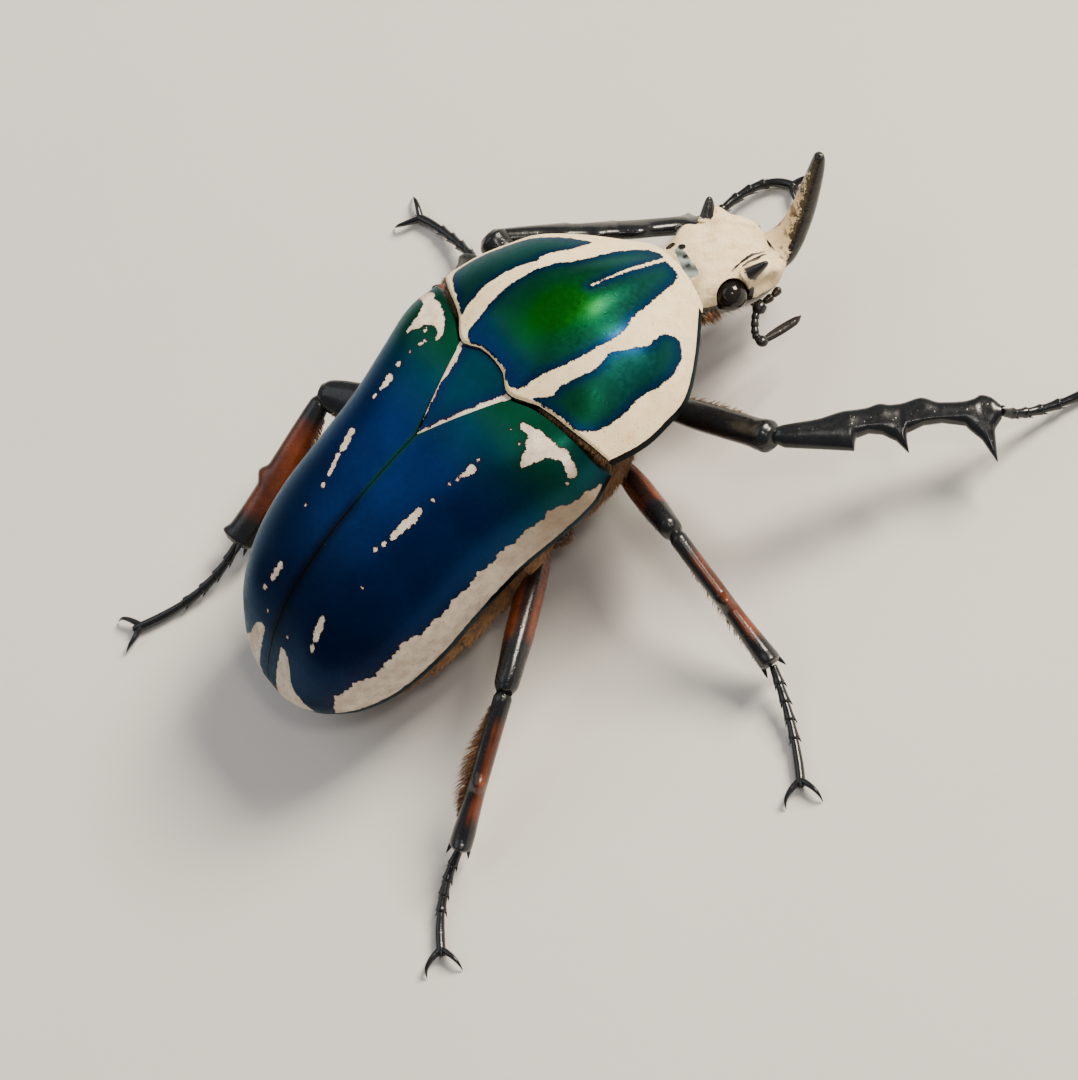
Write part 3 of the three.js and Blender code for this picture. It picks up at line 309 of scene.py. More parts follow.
def gentle(xs, ys, x):
    """Smooth curve through the listed values that never passes beyond them."""
    xs, ys, x = np.asarray(xs, float), np.asarray(ys, float), np.asarray(x, float)
    step = np.diff(ys) / np.diff(xs)
    slope = np.zeros(len(xs))
    same = step[:-1] * step[1:] > 0
    total = np.where(same, step[:-1] + step[1:], 1)
    slope[1:-1] = np.where(same, 2 * step[:-1] * step[1:] / total, 0)
    slope[0], slope[-1] = step[0], step[-1]
    return hermite(xs, ys, slope, x)


def hermite(xs, ys, slope, x):
    """Cubic curve through the listed values with the given slopes."""
    i = np.clip(np.searchsorted(xs, x) - 1, 0, len(xs) - 2)
    h = xs[i + 1] - xs[i]
    t = np.clip((x - xs[i]) / h, 0, 1)
    return ((2 * t**3 - 3 * t**2 + 1) * ys[i] + (t**3 - 2 * t**2 + t) * h * slope[i]
            + (3 * t**2 - 2 * t**3) * ys[i + 1] + (t**3 - t**2) * h * slope[i + 1])


def ramp(low, high, x):
    """Smooth step from 0 at low to 1 at high, where low may be the larger."""
    t = np.clip((x - low) / (high - low), 0, 1)
    return t * t * (3 - 2 * t)


def mix(a, b, t):
    """Colour between a and b, at the share t of each point."""
    return a + (b - a) * t[..., None]


def hill(values, centres, widths):
    """Gaussian hill over the listed coordinates, 1 at its centre."""
    return np.exp(-sum(((v - c) / w) ** 2 for v, c, w in zip(values, centres, widths)))


def mirrored(point, side):
    """The point itself for the left side (1), or its mirror image for the right (-1)."""
    return np.array(point) * [1, side, 1]


def turn(axis, degrees):
    """Matrix that turns about the y or z axis."""
    c = math.cos(math.radians(degrees))
    s = math.sin(math.radians(degrees))
    matrix = np.eye(4)
    if axis == "y":
        matrix[0, 0], matrix[0, 2], matrix[2, 0], matrix[2, 2] = c, s, -s, c
    else:
        matrix[0, 0], matrix[0, 1], matrix[1, 0], matrix[1, 1] = c, -s, s, c
    return matrix


def move(x, y, z):
    """Matrix that moves by x, y and z."""
    matrix = np.eye(4)
    matrix[:3, 3] = x, y, z
    return matrix


def carry(matrix, points):
    """Points moved by a matrix."""
    return np.asarray(points, float) @ matrix[:3, :3].T + matrix[:3, 3]


BODY = move(BODY_PIVOT_X, 0, BODY_HEIGHT) @ turn("y", -BODY_PITCH) @ move(-BODY_PIVOT_X, 0, 0)
PROTHORAX = BODY @ move(0, 0, PROTHORAX_PIVOT_Z) @ turn("y", PROTHORAX_PITCH) @ move(0, 0, -PROTHORAX_PIVOT_Z)
HEAD_FRAME = PROTHORAX @ move(*HEAD_AT) @ turn("z", HEAD_YAW) @ turn("y", HEAD_PITCH)

# The left eye shows where the frame's origin lies on the floor
eye_low, eye_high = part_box("eye_left")
EYE_CENTRE = np.array((eye_low + eye_high) / 2) / MM
ORIGIN = carry(HEAD_FRAME, EYE_AT) - EYE_CENTRE
AIM = (np.array(CAMERA_AIM) - ORIGIN) * MM


# Meshes

FLOOR = np.eye(4)
UP = (0, 0, 1)
# Rows and points per row of the lofts
HEAD_GRID = (240, 220)
HORN_GRID = (120, 64)
EYE_GRID = (64, 48)
COXA_GRID = (56, 36)
FEMUR_ROWS = 90
TIBIA_ROWS = 220
LEG_SIDES = 44
ABDOMEN_ROWS = 240
THORAX_ROWS = 80
PYGIDIUM_GRID = (30, 80)
BODY_SIDES = 120
# Angles in degrees over which an edge is drawn sharp
PLATE_SHARP = 50
ROUND_SHARP = 60
SHIN_SHARP = 45
HAIR_SHARP = 180
PLATE_INSIDE = {"cream": -9.0, "rim": -9.0, "stain": 0.0}
PLATE_INSIDE_TINT = 0.01


def add_piece(name, matrix, part, material, sharp, nodes=()):
    """Adds a (points, faces, values, colours) part, given in millimetres in a body's frame."""
    points, faces, values, colours = part
    verts = (carry(matrix, points) - ORIGIN) * MM
    mesh = bpy.data.meshes.new(name)
    mesh.from_pydata(verts.tolist(), [], faces)
    mesh.update()
    for key, data in values.items():
        attribute = mesh.attributes.new(key, "FLOAT", "POINT")
        attribute.data.foreach_set("value", np.asarray(data, np.float32).ravel())
    attribute = mesh.attributes.new("tint", "FLOAT_COLOR", "POINT")
    rgba = np.ones((len(verts), 4), np.float32)
    rgba[:, :3] = colours
    attribute.data.foreach_set("color", rgba.ravel())
    mesh.shade_smooth()
    mesh.set_sharp_from_angle(angle=math.radians(sharp))
    mesh.materials.append(material)
    piece = bpy.data.objects.new(name, mesh)
    bpy.context.scene.collection.objects.link(piece)
    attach(piece, "root")
    if nodes:
        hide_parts(*nodes)
    return piece


def add_skin(node, matrix, part, material, sharp):
    """Adds the fine surface that takes the place of one solid."""
    add_piece(f"{node}_skin", matrix, part, material, sharp, (node,))


def merge(*parts):
    """Joins (points, faces, values, colours) parts into one."""
    points, faces, values, colours = [], [], {}, []
    start = 0
    for part_points, part_faces, part_values, part_colours in parts:
        points.append(part_points)
        faces += [tuple(i + start for i in face) for face in part_faces]
        for key, data in part_values.items():
            values.setdefault(key, []).append(data)
        colours.append(part_colours)
        start += len(part_points)
    return (np.concatenate(points), faces, {k: np.concatenate(v) for k, v in values.items()},
            np.concatenate(colours))


def grid_faces(rows, cols, wrap=False, start=0, flip=False):
    """Quads between the points of a grid, whose columns may close into a ring."""
    faces = []
    last = cols if wrap else cols - 1
    for i in range(rows - 1):
        for j in range(last):
            a = start + i * cols + j
            b = start + i * cols + (j + 1) % cols
            quad = (a, b, b + cols, a + cols)
            faces.append(quad[::-1] if flip else quad)
    return faces


def plate_faces(rows, cols, flip):
    """Faces of a closed plate made of an outer and an inner grid."""
    low = rows * cols
    faces = grid_faces(rows, cols, flip=flip) + grid_faces(rows, cols, start=low, flip=not flip)
    around = list(range(cols))
    around += [i * cols + cols - 1 for i in range(1, rows)]
    around += [(rows - 1) * cols + j for j in range(cols - 2, -1, -1)]
    around += [i * cols for i in range(rows - 2, 0, -1)]
    for k, a in enumerate(around):
        b = around[(k + 1) % len(around)]
        quad = (b, a, low + a, low + b)
        faces.append(quad[::-1] if flip else quad)
    return faces


def loft(rings):
    """Points and faces of a closed loft through rings of equal length."""
    rows, cols = rings.shape[:2]
    points = np.concatenate([rings.reshape(-1, 3), rings[0].mean(0)[None], rings[-1].mean(0)[None]])
    faces = grid_faces(rows, cols, wrap=True)
    first = rows * cols
    faces += [(first, (k + 1) % cols, k) for k in range(cols)]
    base = (rows - 1) * cols
    faces += [(first + 1, base + k, base + (k + 1) % cols) for k in range(cols)]
    return points, faces


def ends(data):
    """Values of a loft's rings, with one more value for each end cap's centre."""
    flat = data.reshape(-1, *data.shape[2:])
    return np.concatenate([flat, data[0].mean(0)[None], data[-1].mean(0)[None]])


def lofted(rings, colours, **values):
    """A closed loft as a part, with one colour or a colour for each ring point."""
    points, faces = loft(rings)
    tints = np.broadcast_to(np.asarray(colours, float), rings.shape)
    return points, faces, {key: ends(data) for key, data in values.items()}, ends(tints)


def add_plate(node, matrix, outer, inner, skin, slot, flip, colours, **values):
    """Adds a closed plate, whose inner side is dark and bears no markings."""
    rows, cols = outer.shape[:2]
    points = np.concatenate([outer.reshape(-1, 3), inner.reshape(-1, 3)])
    doubled = {key: np.concatenate([data.reshape(-1), np.full(data.size, PLATE_INSIDE[key])])
               for key, data in values.items()}
    tints = np.concatenate([colours.reshape(-1, 3), np.full((rows * cols, 3), PLATE_INSIDE_TINT)])
    add_skin(node, matrix, (points, plate_faces(rows, cols, flip), doubled, tints), skin, PLATE_SHARP)


def unit(v):
    """Vectors scaled to length 1."""
    v = np.asarray(v, float)
    return v / np.maximum(np.linalg.norm(v, axis=-1, keepdims=True), 1e-9)


def tube(at, outer, inner, half, out_direction, sides, lean=0.0):
    """Rings along a path, with the turn of each ring point from the outward side."""
    at = np.asarray(at, float)
    n = len(at)
    outer, inner, half = (np.broadcast_to(np.asarray(r, float), n) for r in (outer, inner, half))
    along = unit(np.gradient(at, axis=0))
    out = np.asarray(out_direction, float)
    out = unit(out - along * (along @ out)[:, None])
    across = np.cross(along, out)
    angle = np.linspace(0, 2 * np.pi, sides, endpoint=False)
    c, s = np.cos(angle), np.sin(angle)
    reach = np.where(c > 0, outer[:, None], inner[:, None]) * c
    rings = at[:, None] + out[:, None] * reach[..., None] + across[:, None] * (half[:, None] * s)[..., None]
    rings = rings + along[:, None] * (lean * np.maximum(0, reach - 1.3))[..., None]
    return rings, np.broadcast_to(angle, (n, sides))


def ball_rings(centre, radii, across=48, down=32):
    """Rings of an ellipsoid, from its +y pole to its -y pole."""
    polar = np.linspace(0.02, np.pi - 0.02, down)[:, None]
    angle = np.linspace(0, 2 * np.pi, across, endpoint=False)[None]
    ring = np.stack([np.sin(polar) * np.cos(angle), np.cos(polar) + 0 * angle,
                     np.sin(polar) * np.sin(angle)], -1)
    return np.asarray(centre) + ring * np.asarray(radii)


# Distances that draw the markings, in millimetres, positive inside

def patch_distance(points, outline):
    """Distance inside a smooth closed outline, for points of shape (..., 2)."""
    corner = np.asarray(outline, float)
    steps = np.linspace(0, 1, 4, endpoint=False)[:, None]
    curve = []
    for k in range(len(corner)):
        p0, p1 = corner[k - 1], corner[k]
        p2, p3 = corner[(k + 1) % len(corner)], corner[(k + 2) % len(corner)]
        t = steps
        curve.append(0.5 * (2 * p1 + (p2 - p0) * t + (2 * p0 - 5 * p1 + 4 * p2 - p3) * t**2
                            + (3 * p1 - p0 - 3 * p2 + p3) * t**3))
    curve = np.concatenate(curve)
    flat = points.reshape(-1, 2)
    nearest = np.full(len(flat), 1e9)
    crossings = np.zeros(len(flat), int)
    for a, b in zip(curve, np.roll(curve, -1, axis=0)):
        ab = b - a
        t = np.clip(((flat - a) @ ab) / max(ab @ ab, 1e-12), 0, 1)
        nearest = np.minimum(nearest, np.linalg.norm(flat - a - t[:, None] * ab, axis=1))
        spans = (a[1] > flat[:, 1]) != (b[1] > flat[:, 1])
        height = b[1] - a[1] if b[1] != a[1] else 1e-12
        crossings += spans & (flat[:, 0] < a[0] + (flat[:, 1] - a[1]) * ab[0] / height)
    inside = crossings % 2 == 1
    return np.where(inside, nearest, -nearest).reshape(points.shape[:-1])


def stroke_distance(points, stroke, bead=None):
    """Distance inside a stroke given as (first, second, half width) points, plain or like beads."""
    path = np.asarray(stroke, float)
    passed = 0.0
    if len(path) == 1:
        return path[0, 2] - np.linalg.norm(points - path[0, :2], axis=-1)
    best = np.full(points.shape[:-1], -1e9)
    for a, b in zip(path[:-1], path[1:]):
        ab = b[:2] - a[:2]
        t = np.clip(((points - a[:2]) @ ab) / (ab @ ab), 0, 1)
        width = a[2] + (b[2] - a[2]) * t
        if bead:
            width = width * (0.66 + 0.34 * np.abs(np.cos(np.pi * (passed + t * math.hypot(*ab)) / bead)))
        passed += math.hypot(*ab)
        best = np.maximum(best, width - np.linalg.norm(points - a[:2] - t[..., None] * ab, axis=-1))
    return best


# Materials

class Nodes:
    """Small helper that builds a material's node tree."""

    def __init__(self, name):
        self.material = bpy.data.materials.new(name)
        self.material.use_nodes = True
        self.tree = self.material.node_tree
        self.shader = self.tree.nodes["Principled BSDF"]

    def node(self, kind, **settings):
        made = self.tree.nodes.new(kind)
        for key, value in settings.items():
            setattr(made, key, value)
        return made

    def put(self, socket, value):
        if hasattr(value, "is_output"):
            self.tree.links.new(value, socket)
        elif socket.type == "RGBA" and isinstance(value, float):
            socket.default_value = (value, value, value, 1)
        else:
            socket.default_value = value

    def value(self, name):
        return self.node("ShaderNodeAttribute", attribute_name=name).outputs["Fac"]

    def colour(self, name):
        return self.node("ShaderNodeAttribute", attribute_name=name).outputs["Color"]

    def noise(self, size_mm, detail=3.0):
        made = self.node("ShaderNodeTexNoise")
        self.tree.links.new(self.place(), made.inputs["Vector"])
        made.inputs["Scale"].default_value = 1 / (size_mm * MM)
        made.inputs["Detail"].default_value = detail
        return made.outputs["Fac"]

    def cells(self, size_mm):
        made = self.node("ShaderNodeTexVoronoi")
        self.tree.links.new(self.place(), made.inputs["Vector"])
        made.inputs["Scale"].default_value = 1 / (size_mm * MM)
        return made.outputs["Distance"]

    def place(self):
        if not hasattr(self, "place_output"):
            self.place_output = self.node("ShaderNodeTexCoord").outputs["Object"]
        return self.place_output

    def maths(self, operation, a, b=0.0):
        made = self.node("ShaderNodeMath", operation=operation)
        self.put(made.inputs[0], a)
        self.put(made.inputs[1], b)
        return made.outputs[0]

    def step(self, value, low, high, to_low=0.0, to_high=1.0):
        made = self.node("ShaderNodeMapRange")
        for socket, v in zip(made.inputs[:5], (value, low, high, to_low, to_high)):
            self.put(socket, v)
        return made.outputs[0]

    def cloud(self, size_mm, detail, low, high, to_low=0.0, to_high=1.0):
        return self.step(self.noise(size_mm, detail), low, high, to_low, to_high)

    def mix(self, amount, a, b, blend="MIX"):
        made = self.node("ShaderNodeMix", data_type="RGBA", blend_type=blend)
        self.put(made.inputs[0], amount)
        self.put(made.inputs[6], a)
        self.put(made.inputs[7], b)
        return made.outputs[2]

    def bump(self, height, distance_mm, strength=1.0, below=None):
        made = self.node("ShaderNodeBump")
        made.inputs["Strength"].default_value = strength
        made.inputs["Distance"].default_value = distance_mm * MM
        self.put(made.inputs["Height"], height)
        if below is not None:
            self.tree.links.new(below, made.inputs["Normal"])
        return made.outputs[0]

    def set(self, **sockets):
        for key, value in sockets.items():
            self.put(self.shader.inputs[key.replace("_", " ")], value)


BLACK = (0.006, 0.006, 0.007, 1)


def ragged(n, value, coarse, fine):
    """A distance with an uneven, grainy edge."""
    first = n.maths("MULTIPLY", n.maths("SUBTRACT", n.noise(0.75, 2.0), 0.5), coarse)
    second = n.maths("MULTIPLY", n.maths("SUBTRACT", n.noise(0.16, 2.0), 0.5), fine)
    return n.maths("ADD", n.maths("ADD", value, first), second)


def marked_cuticle(name, light, dark, edge, rough):
    """Glossy cuticle with matte cream markings and a black rim."""
    n = Nodes(name)
    cloud = n.cloud(4.5, 4.0, 0.3, 0.7, 0.82, 1.18)
    ground = n.mix(1.0, n.colour("tint"), cloud, "MULTIPLY")
    glitter = n.cloud(0.12, 1.0, 0.70, 0.78, 0.0, 0.22)
    ground = n.mix(glitter, ground, (0.10, 0.17, 0.13, 1))
    distance = ragged(n, n.value("cream"), 0.46, 0.38)
    mask = n.step(distance, -0.03, 0.03)
    mottle = n.cloud(1.1, 5.0, 0.35, 0.7)
    cream = n.mix(mottle, light, dark)
    speck = n.cloud(0.22, 1.0, 0.66, 0.72, 0.0, 0.55)
    cream = n.mix(speck, cream, (0.30, 0.20, 0.11, 1))
    # Darkens the cream towards tan; on the elytra's side band this is painted shade and dirt together
    cream = n.mix(n.value("stain"), cream, (0.25, 0.17, 0.10, 1))
    halo = n.step(distance, -0.22, -0.06, 0.0, 0.5)
    near = n.mix(halo, ground, edge)
    base = n.mix(mask, near, cream)
    rim = n.step(ragged(n, n.value("rim"), 0.1, 0.08), -0.03, 0.03)
    base = n.mix(rim, base, BLACK)
    covered = n.maths("MULTIPLY", mask, n.maths("SUBTRACT", 1.0, rim))
    wear = n.cloud(0.5, 4.0, 0.3, 0.7, rough, rough + 0.12)
    roughness = n.step(covered, 0.0, 1.0, wear, 0.82)
    metal = n.step(covered, 0.0, 1.0, 0.7, 0.0)
    pits = n.step(n.cells(0.55), 0.0, 0.22)
    grain = n.noise(0.1, 2.0)
    body = n.bump(pits, 0.02, 0.35)
    fine = n.bump(n.mix(covered, 0.5, grain), 0.05, 0.6, body)
    raised = n.bump(covered, 0.05, 0.8, fine)
    n.set(Base_Color=base, Roughness=roughness, Metallic=metal, Normal=raised, Specular_IOR_Level=0.22,
          Specular_Tint=(0.5, 0.65, 0.75, 1))
    return n.material


def plain_cuticle(name, rough=0.24, pit_mm=0.4, pit_depth=0.03):
    """Glossy cuticle whose colour comes from the mesh."""
    n = Nodes(name)
    cloud = n.cloud(1.6, 4.0, 0.3, 0.7, 0.7, 1.25)
    base = n.mix(1.0, n.colour("tint"), cloud, "MULTIPLY")
    dust = n.cloud(0.3, 3.0, 0.7, 0.8, 0.0, 0.05)
    base = n.mix(dust, base, (0.12, 0.10, 0.08, 1))
    roughness = n.cloud(0.6, 4.0, 0.3, 0.7, rough, rough + 0.12)
    pits = n.step(n.cells(pit_mm), 0.0, 0.25)
    first = n.bump(pits, pit_depth, 0.6)
    second = n.bump(n.noise(0.9, 3.0), 0.10, 0.25, first)
    n.set(Base_Color=base, Roughness=roughness, Normal=second, Specular_IOR_Level=0.45)
    return n.material


def head_material(name, coarse_edge, fine_edge, stain):
    """Cream head with dark specks and blotches, and bare places in the mesh's colour, among them painted
    shadow lines, painted shade and a painted sheen.
    """
    n = Nodes(name)
    mottle = n.cloud(1.3, 5.0, 0.35, 0.7)
    cream = n.mix(mottle, (0.88, 0.73, 0.47, 1), (0.78, 0.57, 0.31, 1))
    speck = n.cloud(0.2, 1.5, 0.63, 0.69, 0.0, 0.55)
    cream = n.mix(speck, cream, (0.36, 0.24, 0.12, 1))
    blotch = n.cloud(1.4, 6.0, 0.56, 0.62, 0.0, stain)
    cream = n.mix(blotch, cream, (0.20, 0.12, 0.065, 1))
    mask = n.step(ragged(n, n.value("cream"), coarse_edge, fine_edge), -0.04, 0.04)
    base = n.mix(mask, n.colour("tint"), cream)
    roughness = n.step(mask, 0.0, 1.0, 0.2, 0.8)
    grain = n.bump(n.noise(0.16, 3.0), 0.06, 0.7)
    coarse = n.bump(n.noise(1.0, 3.0), 0.25, 0.4, grain)
    n.set(Base_Color=base, Roughness=roughness, Normal=coarse)
    return n.material


def hairy_cuticle():
    """Dark underside under a dense golden-brown down."""
    n = Nodes("underside_cuticle")
    down = n.cloud(0.7, 5.0, 0.35, 0.65)
    base = n.mix(down, n.colour("tint"), (0.27, 0.12, 0.035, 1))
    strands = n.noise(0.14, 3.0)
    base = n.mix(n.step(strands, 0.55, 0.75, 0.0, 0.6), base, (0.46, 0.25, 0.08, 1))
    bump = n.bump(strands, 0.16, 0.8)
    n.set(Base_Color=base, Roughness=n.step(strands, 0.3, 0.7, 0.45, 0.75), Normal=bump)
    return n.material


def eye_material():
    """Glossy black with very fine facets."""
    n = Nodes("eye_black")
    facets = n.cells(0.09)
    base = n.mix(n.cloud(0.8, 2.0, 0.4, 0.7), BLACK, (0.012, 0.009, 0.007, 1))
    n.set(Base_Color=base, Roughness=n.step(facets, 0.0, 0.8, 0.08, 0.14),
          Normal=n.bump(facets, 0.006, 0.3), Specular_IOR_Level=0.4)
    return n.material


def hair_material(name):
    """Soft brown hair with some darker strands."""
    n = Nodes(name)
    base = n.mix(n.cloud(0.8, 2.0, 0.3, 0.7, 0.0, 0.45), n.colour("tint"), (0.16, 0.07, 0.02, 1))
    n.set(Base_Color=base, Roughness=0.5, Sheen_Weight=0.2)
    return n.material


PRONOTUM_SKIN = marked_cuticle("pronotum_skin", (0.90, 0.74, 0.47, 1), (0.80, 0.60, 0.34, 1),
                               (0.0005, 0.006, 0.025, 1), 0.28)
ELYTRA_SKIN = marked_cuticle("elytra_skin", (0.84, 0.72, 0.58, 1), (0.60, 0.46, 0.35, 1),
                             (0.03, 0.006, 0.012, 1), 0.28)
BLACK_SKIN = plain_cuticle("black_skin", 0.17)
RED_SKIN = plain_cuticle("red_skin", 0.22, 0.5, 0.04)
HEAD_SKIN = head_material("head_skin", 0.5, 0.3, 0.25)
HORN_SKIN = head_material("horn_skin", 1.3, 1.0, 0.85)
UNDER_SKIN = hairy_cuticle()
EYE_SKIN = eye_material()
HAIR = hair_material("golden_hair")
DARK_HAIR = hair_material("dark_hair")


# Body plates

def elytron_grid(rows, cols, wall, side):
    """Points of one elytron, with the distance behind the shoulder and from the midline of each."""
    u = np.linspace(0, 1, rows)
    d = ELYTRA_D[0] + (ELYTRA_D[-1] - ELYTRA_D[0]) * (0.6 * u + 0.4 * np.sin(u * np.pi / 2))
    d, s = np.meshgrid(d, np.linspace(0, 1, cols), indexing="ij")
    half = smooth(ELYTRA_D, ELYTRA_HALF, d) - wall
    top = smooth(ELYTRA_D, ELYTRA_TOP, d) - wall
    rim = smooth(ELYTRA_D, ELYTRA_RIM, d)
    fade = np.maximum(0, 1 - (d - ELYTRA_D[0]) / SHOULDER_FADE)
    behind = d - (ELYTRA_FRONT_X[1] + ELYTRA_D[0]) * fade
    room = np.maximum(0, -SCUTELLUM_APEX - behind) / (SCUTELLUM_FRONT - SCUTELLUM_APEX)
    inner = np.minimum(SEAM + (SCUTELLUM_HALF - 0.15) * room, half * 0.6)
    start = np.arcsin((inner / half) ** (1 / ELYTRON_ROUND))
    angle = start + (np.pi / 2 - start) * s
    y = half * np.sin(angle) ** ELYTRON_ROUND
    z = rim + (top - rim) * np.maximum(0, np.cos(angle)) ** ELYTRON_ROUND
    for bump_d, bump_y, height, spread in (SHOULDER_BUMP, REAR_BUMP):
        z = z + height * np.exp(-((d - bump_d) ** 2 + (y - bump_y) ** 2) / spread)
    shift = (smooth(ELYTRA_FRONT_Y, ELYTRA_FRONT_X, y) + ELYTRA_D[0]) * fade
    points = np.stack([-d + shift, side * y, z], -1)
    return points, d, np.abs(points[:, :1, 1]) + arc_length(points)


def arc_length(grid):
    """Distance along each row of a grid from its first point."""
    steps = np.linalg.norm(np.diff(grid, axis=1), axis=2)
    return np.concatenate([np.zeros((len(grid), 1)), np.cumsum(steps, axis=1)], axis=1)


def elytron_colours(d, w, rim_w):
    """Green at the shoulder, blue on the disc, violet black behind and at the side."""
    green = np.array([0.0006, 0.060, 0.026])
    teal = np.array([0.0004, 0.036, 0.066])
    blue = np.array([0.0004, 0.0160, 0.084])
    night = np.array([0.0015, 0.010, 0.046])
    violet = np.array([0.010, 0.006, 0.020])
    side = ramp(0.45, 0.95, w / rim_w)
    colour = mix(green, teal, ramp(2.5, 8.0, d - 0.25 * (w - 6)))
    colour = mix(colour, blue, ramp(5, 12, d))
    colour = mix(colour, teal * 0.8, side * (1 - ramp(8, 22, d)) * 0.8)
    colour = mix(colour, night, ramp(13, 30, d + 5 * side))
    return mix(colour, violet, 0.7 * side * ramp(20, 32, d))


def turn_edge_in(grid, side, reach, inward, drop):
    """Adds a lip to the rim of an elytron, turned in below it."""
    lips = []
    for t in LIP_STEPS:
        lip = grid[:, -1:].copy()
        lip[..., 1] -= side * inward * t * t * reach
        lip[..., 2] -= drop * t * reach
        lips.append(lip)
    return np.concatenate([grid, *lips], axis=1)


def build_elytron(side, name, spots, hook):
    """One wing case with its hook, spots, side band and mark at the end."""
    outer, d, w = elytron_grid(*ELYTRON_GRID, 0.0, side)
    inner, _, _ = elytron_grid(*ELYTRON_GRID, ELYTRON_WALL, side)
    reach = np.minimum(1, (ELYTRA_D[-1] - d[:, :1]) / 6 + 0.25)
    outer = turn_edge_in(outer, side, reach, 0.35, 0.9)
    inner = turn_edge_in(inner, side, reach, 0.05, 0.55)
    rim_w = w[:, -1:]
    w = np.concatenate([w, *(rim_w + step for step in (0.3, 0.6, 0.9))], axis=1)
    d = np.concatenate([d, d[:, :3]], axis=1)
    at = np.stack([d, w], -1)
    cream = patch_distance(at, hook)
    for stroke in spots:
        cream = np.maximum(cream, stroke_distance(at, stroke, BEAD))
    wobble = 0.16 * np.sin(2.1 * d) + 0.12 * np.sin(5.3 * d + 1) + 0.08 * np.sin(11 * d)
    band = np.minimum(w + wobble - smooth(SIDE_BAND_D, SIDE_BAND_W, d), rim_w - 0.35 - w)
    cream = np.maximum(cream, np.minimum(np.minimum(band, d - SIDE_BAND_FRONT), SIDE_BAND_END - d))
    apex = np.minimum(w - 1.35, rim_w + 0.2 - w)
    apex = np.minimum(apex, d - gentle(APEX_EDGE_W, APEX_EDGE_D, np.clip(w, 1.9, 7.4)))
    cream = np.maximum(cream, np.minimum(apex, 8.2 - w))
    # Painted shade and dirt: the front of the side band darkened to tan, most towards the rim
    stain = 0.75 * ramp(0.66, 0.80, w / rim_w) * (1 - ramp(5, 17, d))
    edge = w - w[:, :1]
    rim = np.maximum(w - (rim_w - 0.30), 0.10 * ramp(18, 21, d) - 0.02 - edge)
    seam = np.exp(-(edge / 0.05) ** 2) * ramp(8, 10, d) * (1 - ramp(16, 21, d))
    # Painted shade: darker in the gap along the seam between the elytra, from halfway back
    seam_shade = (np.exp(-(edge / 0.55) ** 2) * ramp(16, 20, d))[..., None]
    colours = mix(elytron_colours(d, w, rim_w), SEAM_GREEN, 0.9 * seam) * (1 - 0.8 * seam_shade)
    add_plate(name, BODY, outer, inner, ELYTRA_SKIN, "elytra", side > 0, colours,
              cream=cream, rim=rim, stain=stain)


def pronotum_points(u, s, wall):
    """Points of the pronotum at u along it and s across it, both as shares."""
    a = np.abs(s)
    half = smooth(PRONOTUM_U, PRONOTUM_HALF, u) - wall
    top = smooth(PRONOTUM_U, PRONOTUM_TOP, u) - wall
    rim = smooth(PRONOTUM_U, PRONOTUM_RIM, u)
    rear = gentle(PRONOTUM_REAR_S, PRONOTUM_REAR_X, a)
    front = PRONOTUM_FRONT_X + (PRONOTUM_CORNER_X - PRONOTUM_FRONT_X) * a * a
    z = rim + (top - rim) * np.maximum(0, 1 - a**2.3) ** 0.62
    return np.stack([rear + (front - rear) * u, s * half, z], -1)


def columns(cols):
    """Places across the pronotum, closer together towards its sides."""
    return np.sin(np.linspace(-0.47, 0.47, cols) * np.pi) / math.sin(0.47 * math.pi)


def build_pronotum():
    """The pronotum with its three dark patches on cream."""
    rows, cols = PRONOTUM_GRID
    u, s = np.meshgrid(np.linspace(0, 1, rows), columns(cols), indexing="ij")
    outer = pronotum_points(u, s, 0.0)
    bead = ramp(0.955, 1.0, np.abs(s)) * np.sin(np.pi * np.clip(u, 0, 0.93) / 0.93) ** 0.3
    outer[..., 1] += np.sign(s) * 0.12 * bead
    outer[..., 2] -= 0.22 * ramp(0.02, 0.0, u)
    arc = arc_length(outer)
    arc -= arc[:, cols // 2:cols // 2 + 1]
    x = outer[..., 0]
    at = np.stack([x, arc], -1)
    dark = np.minimum(patch_distance(at, MIDDLE_PATCH), -stroke_distance(at, MEDIAN_LINE))
    for patch in (LEFT_PATCH, RIGHT_PATCH):
        dark = np.maximum(dark, patch_distance(at, patch))
    from_rear = x - x[:1]
    dark = np.minimum(dark, from_rear - 0.26)
    side_rim = np.abs(arc) - (np.abs(arc[:, -1:]) - PRONOTUM_RIM_WIDTH)
    rim = np.maximum(0.10 - from_rear, np.where(u < 0.97, side_rim, -1))
    inwards = ramp(0.0, 1.3, dark)
    colour = mix(PRONOTUM_NAVY, PRONOTUM_TEAL, inwards)
    centre = hill((x, arc), (5.1, -0.5), (4.7, 3.4))
    colour = mix(colour, PRONOTUM_GREEN, np.clip(centre * 1.3, 0, 1) * ramp(0.0, 1.2, dark))
    right_rear = hill((x, arc), (1.5, -9.5), (3.0, 2.4))
    colour = mix(colour, PRONOTUM_SIDE_GREEN, 0.8 * right_rear * inwards)
    corner = ramp(1.5, -1.5, x) * ramp(6.5, 3.0, np.abs(arc))
    colour = mix(colour, PRONOTUM_BLUE, 0.85 * corner)
    add_plate("pronotum", PROTHORAX, outer, pronotum_points(u, s, PRONOTUM_WALL), PRONOTUM_SKIN, "pronotum",
              False, colour, cream=-dark, rim=rim)


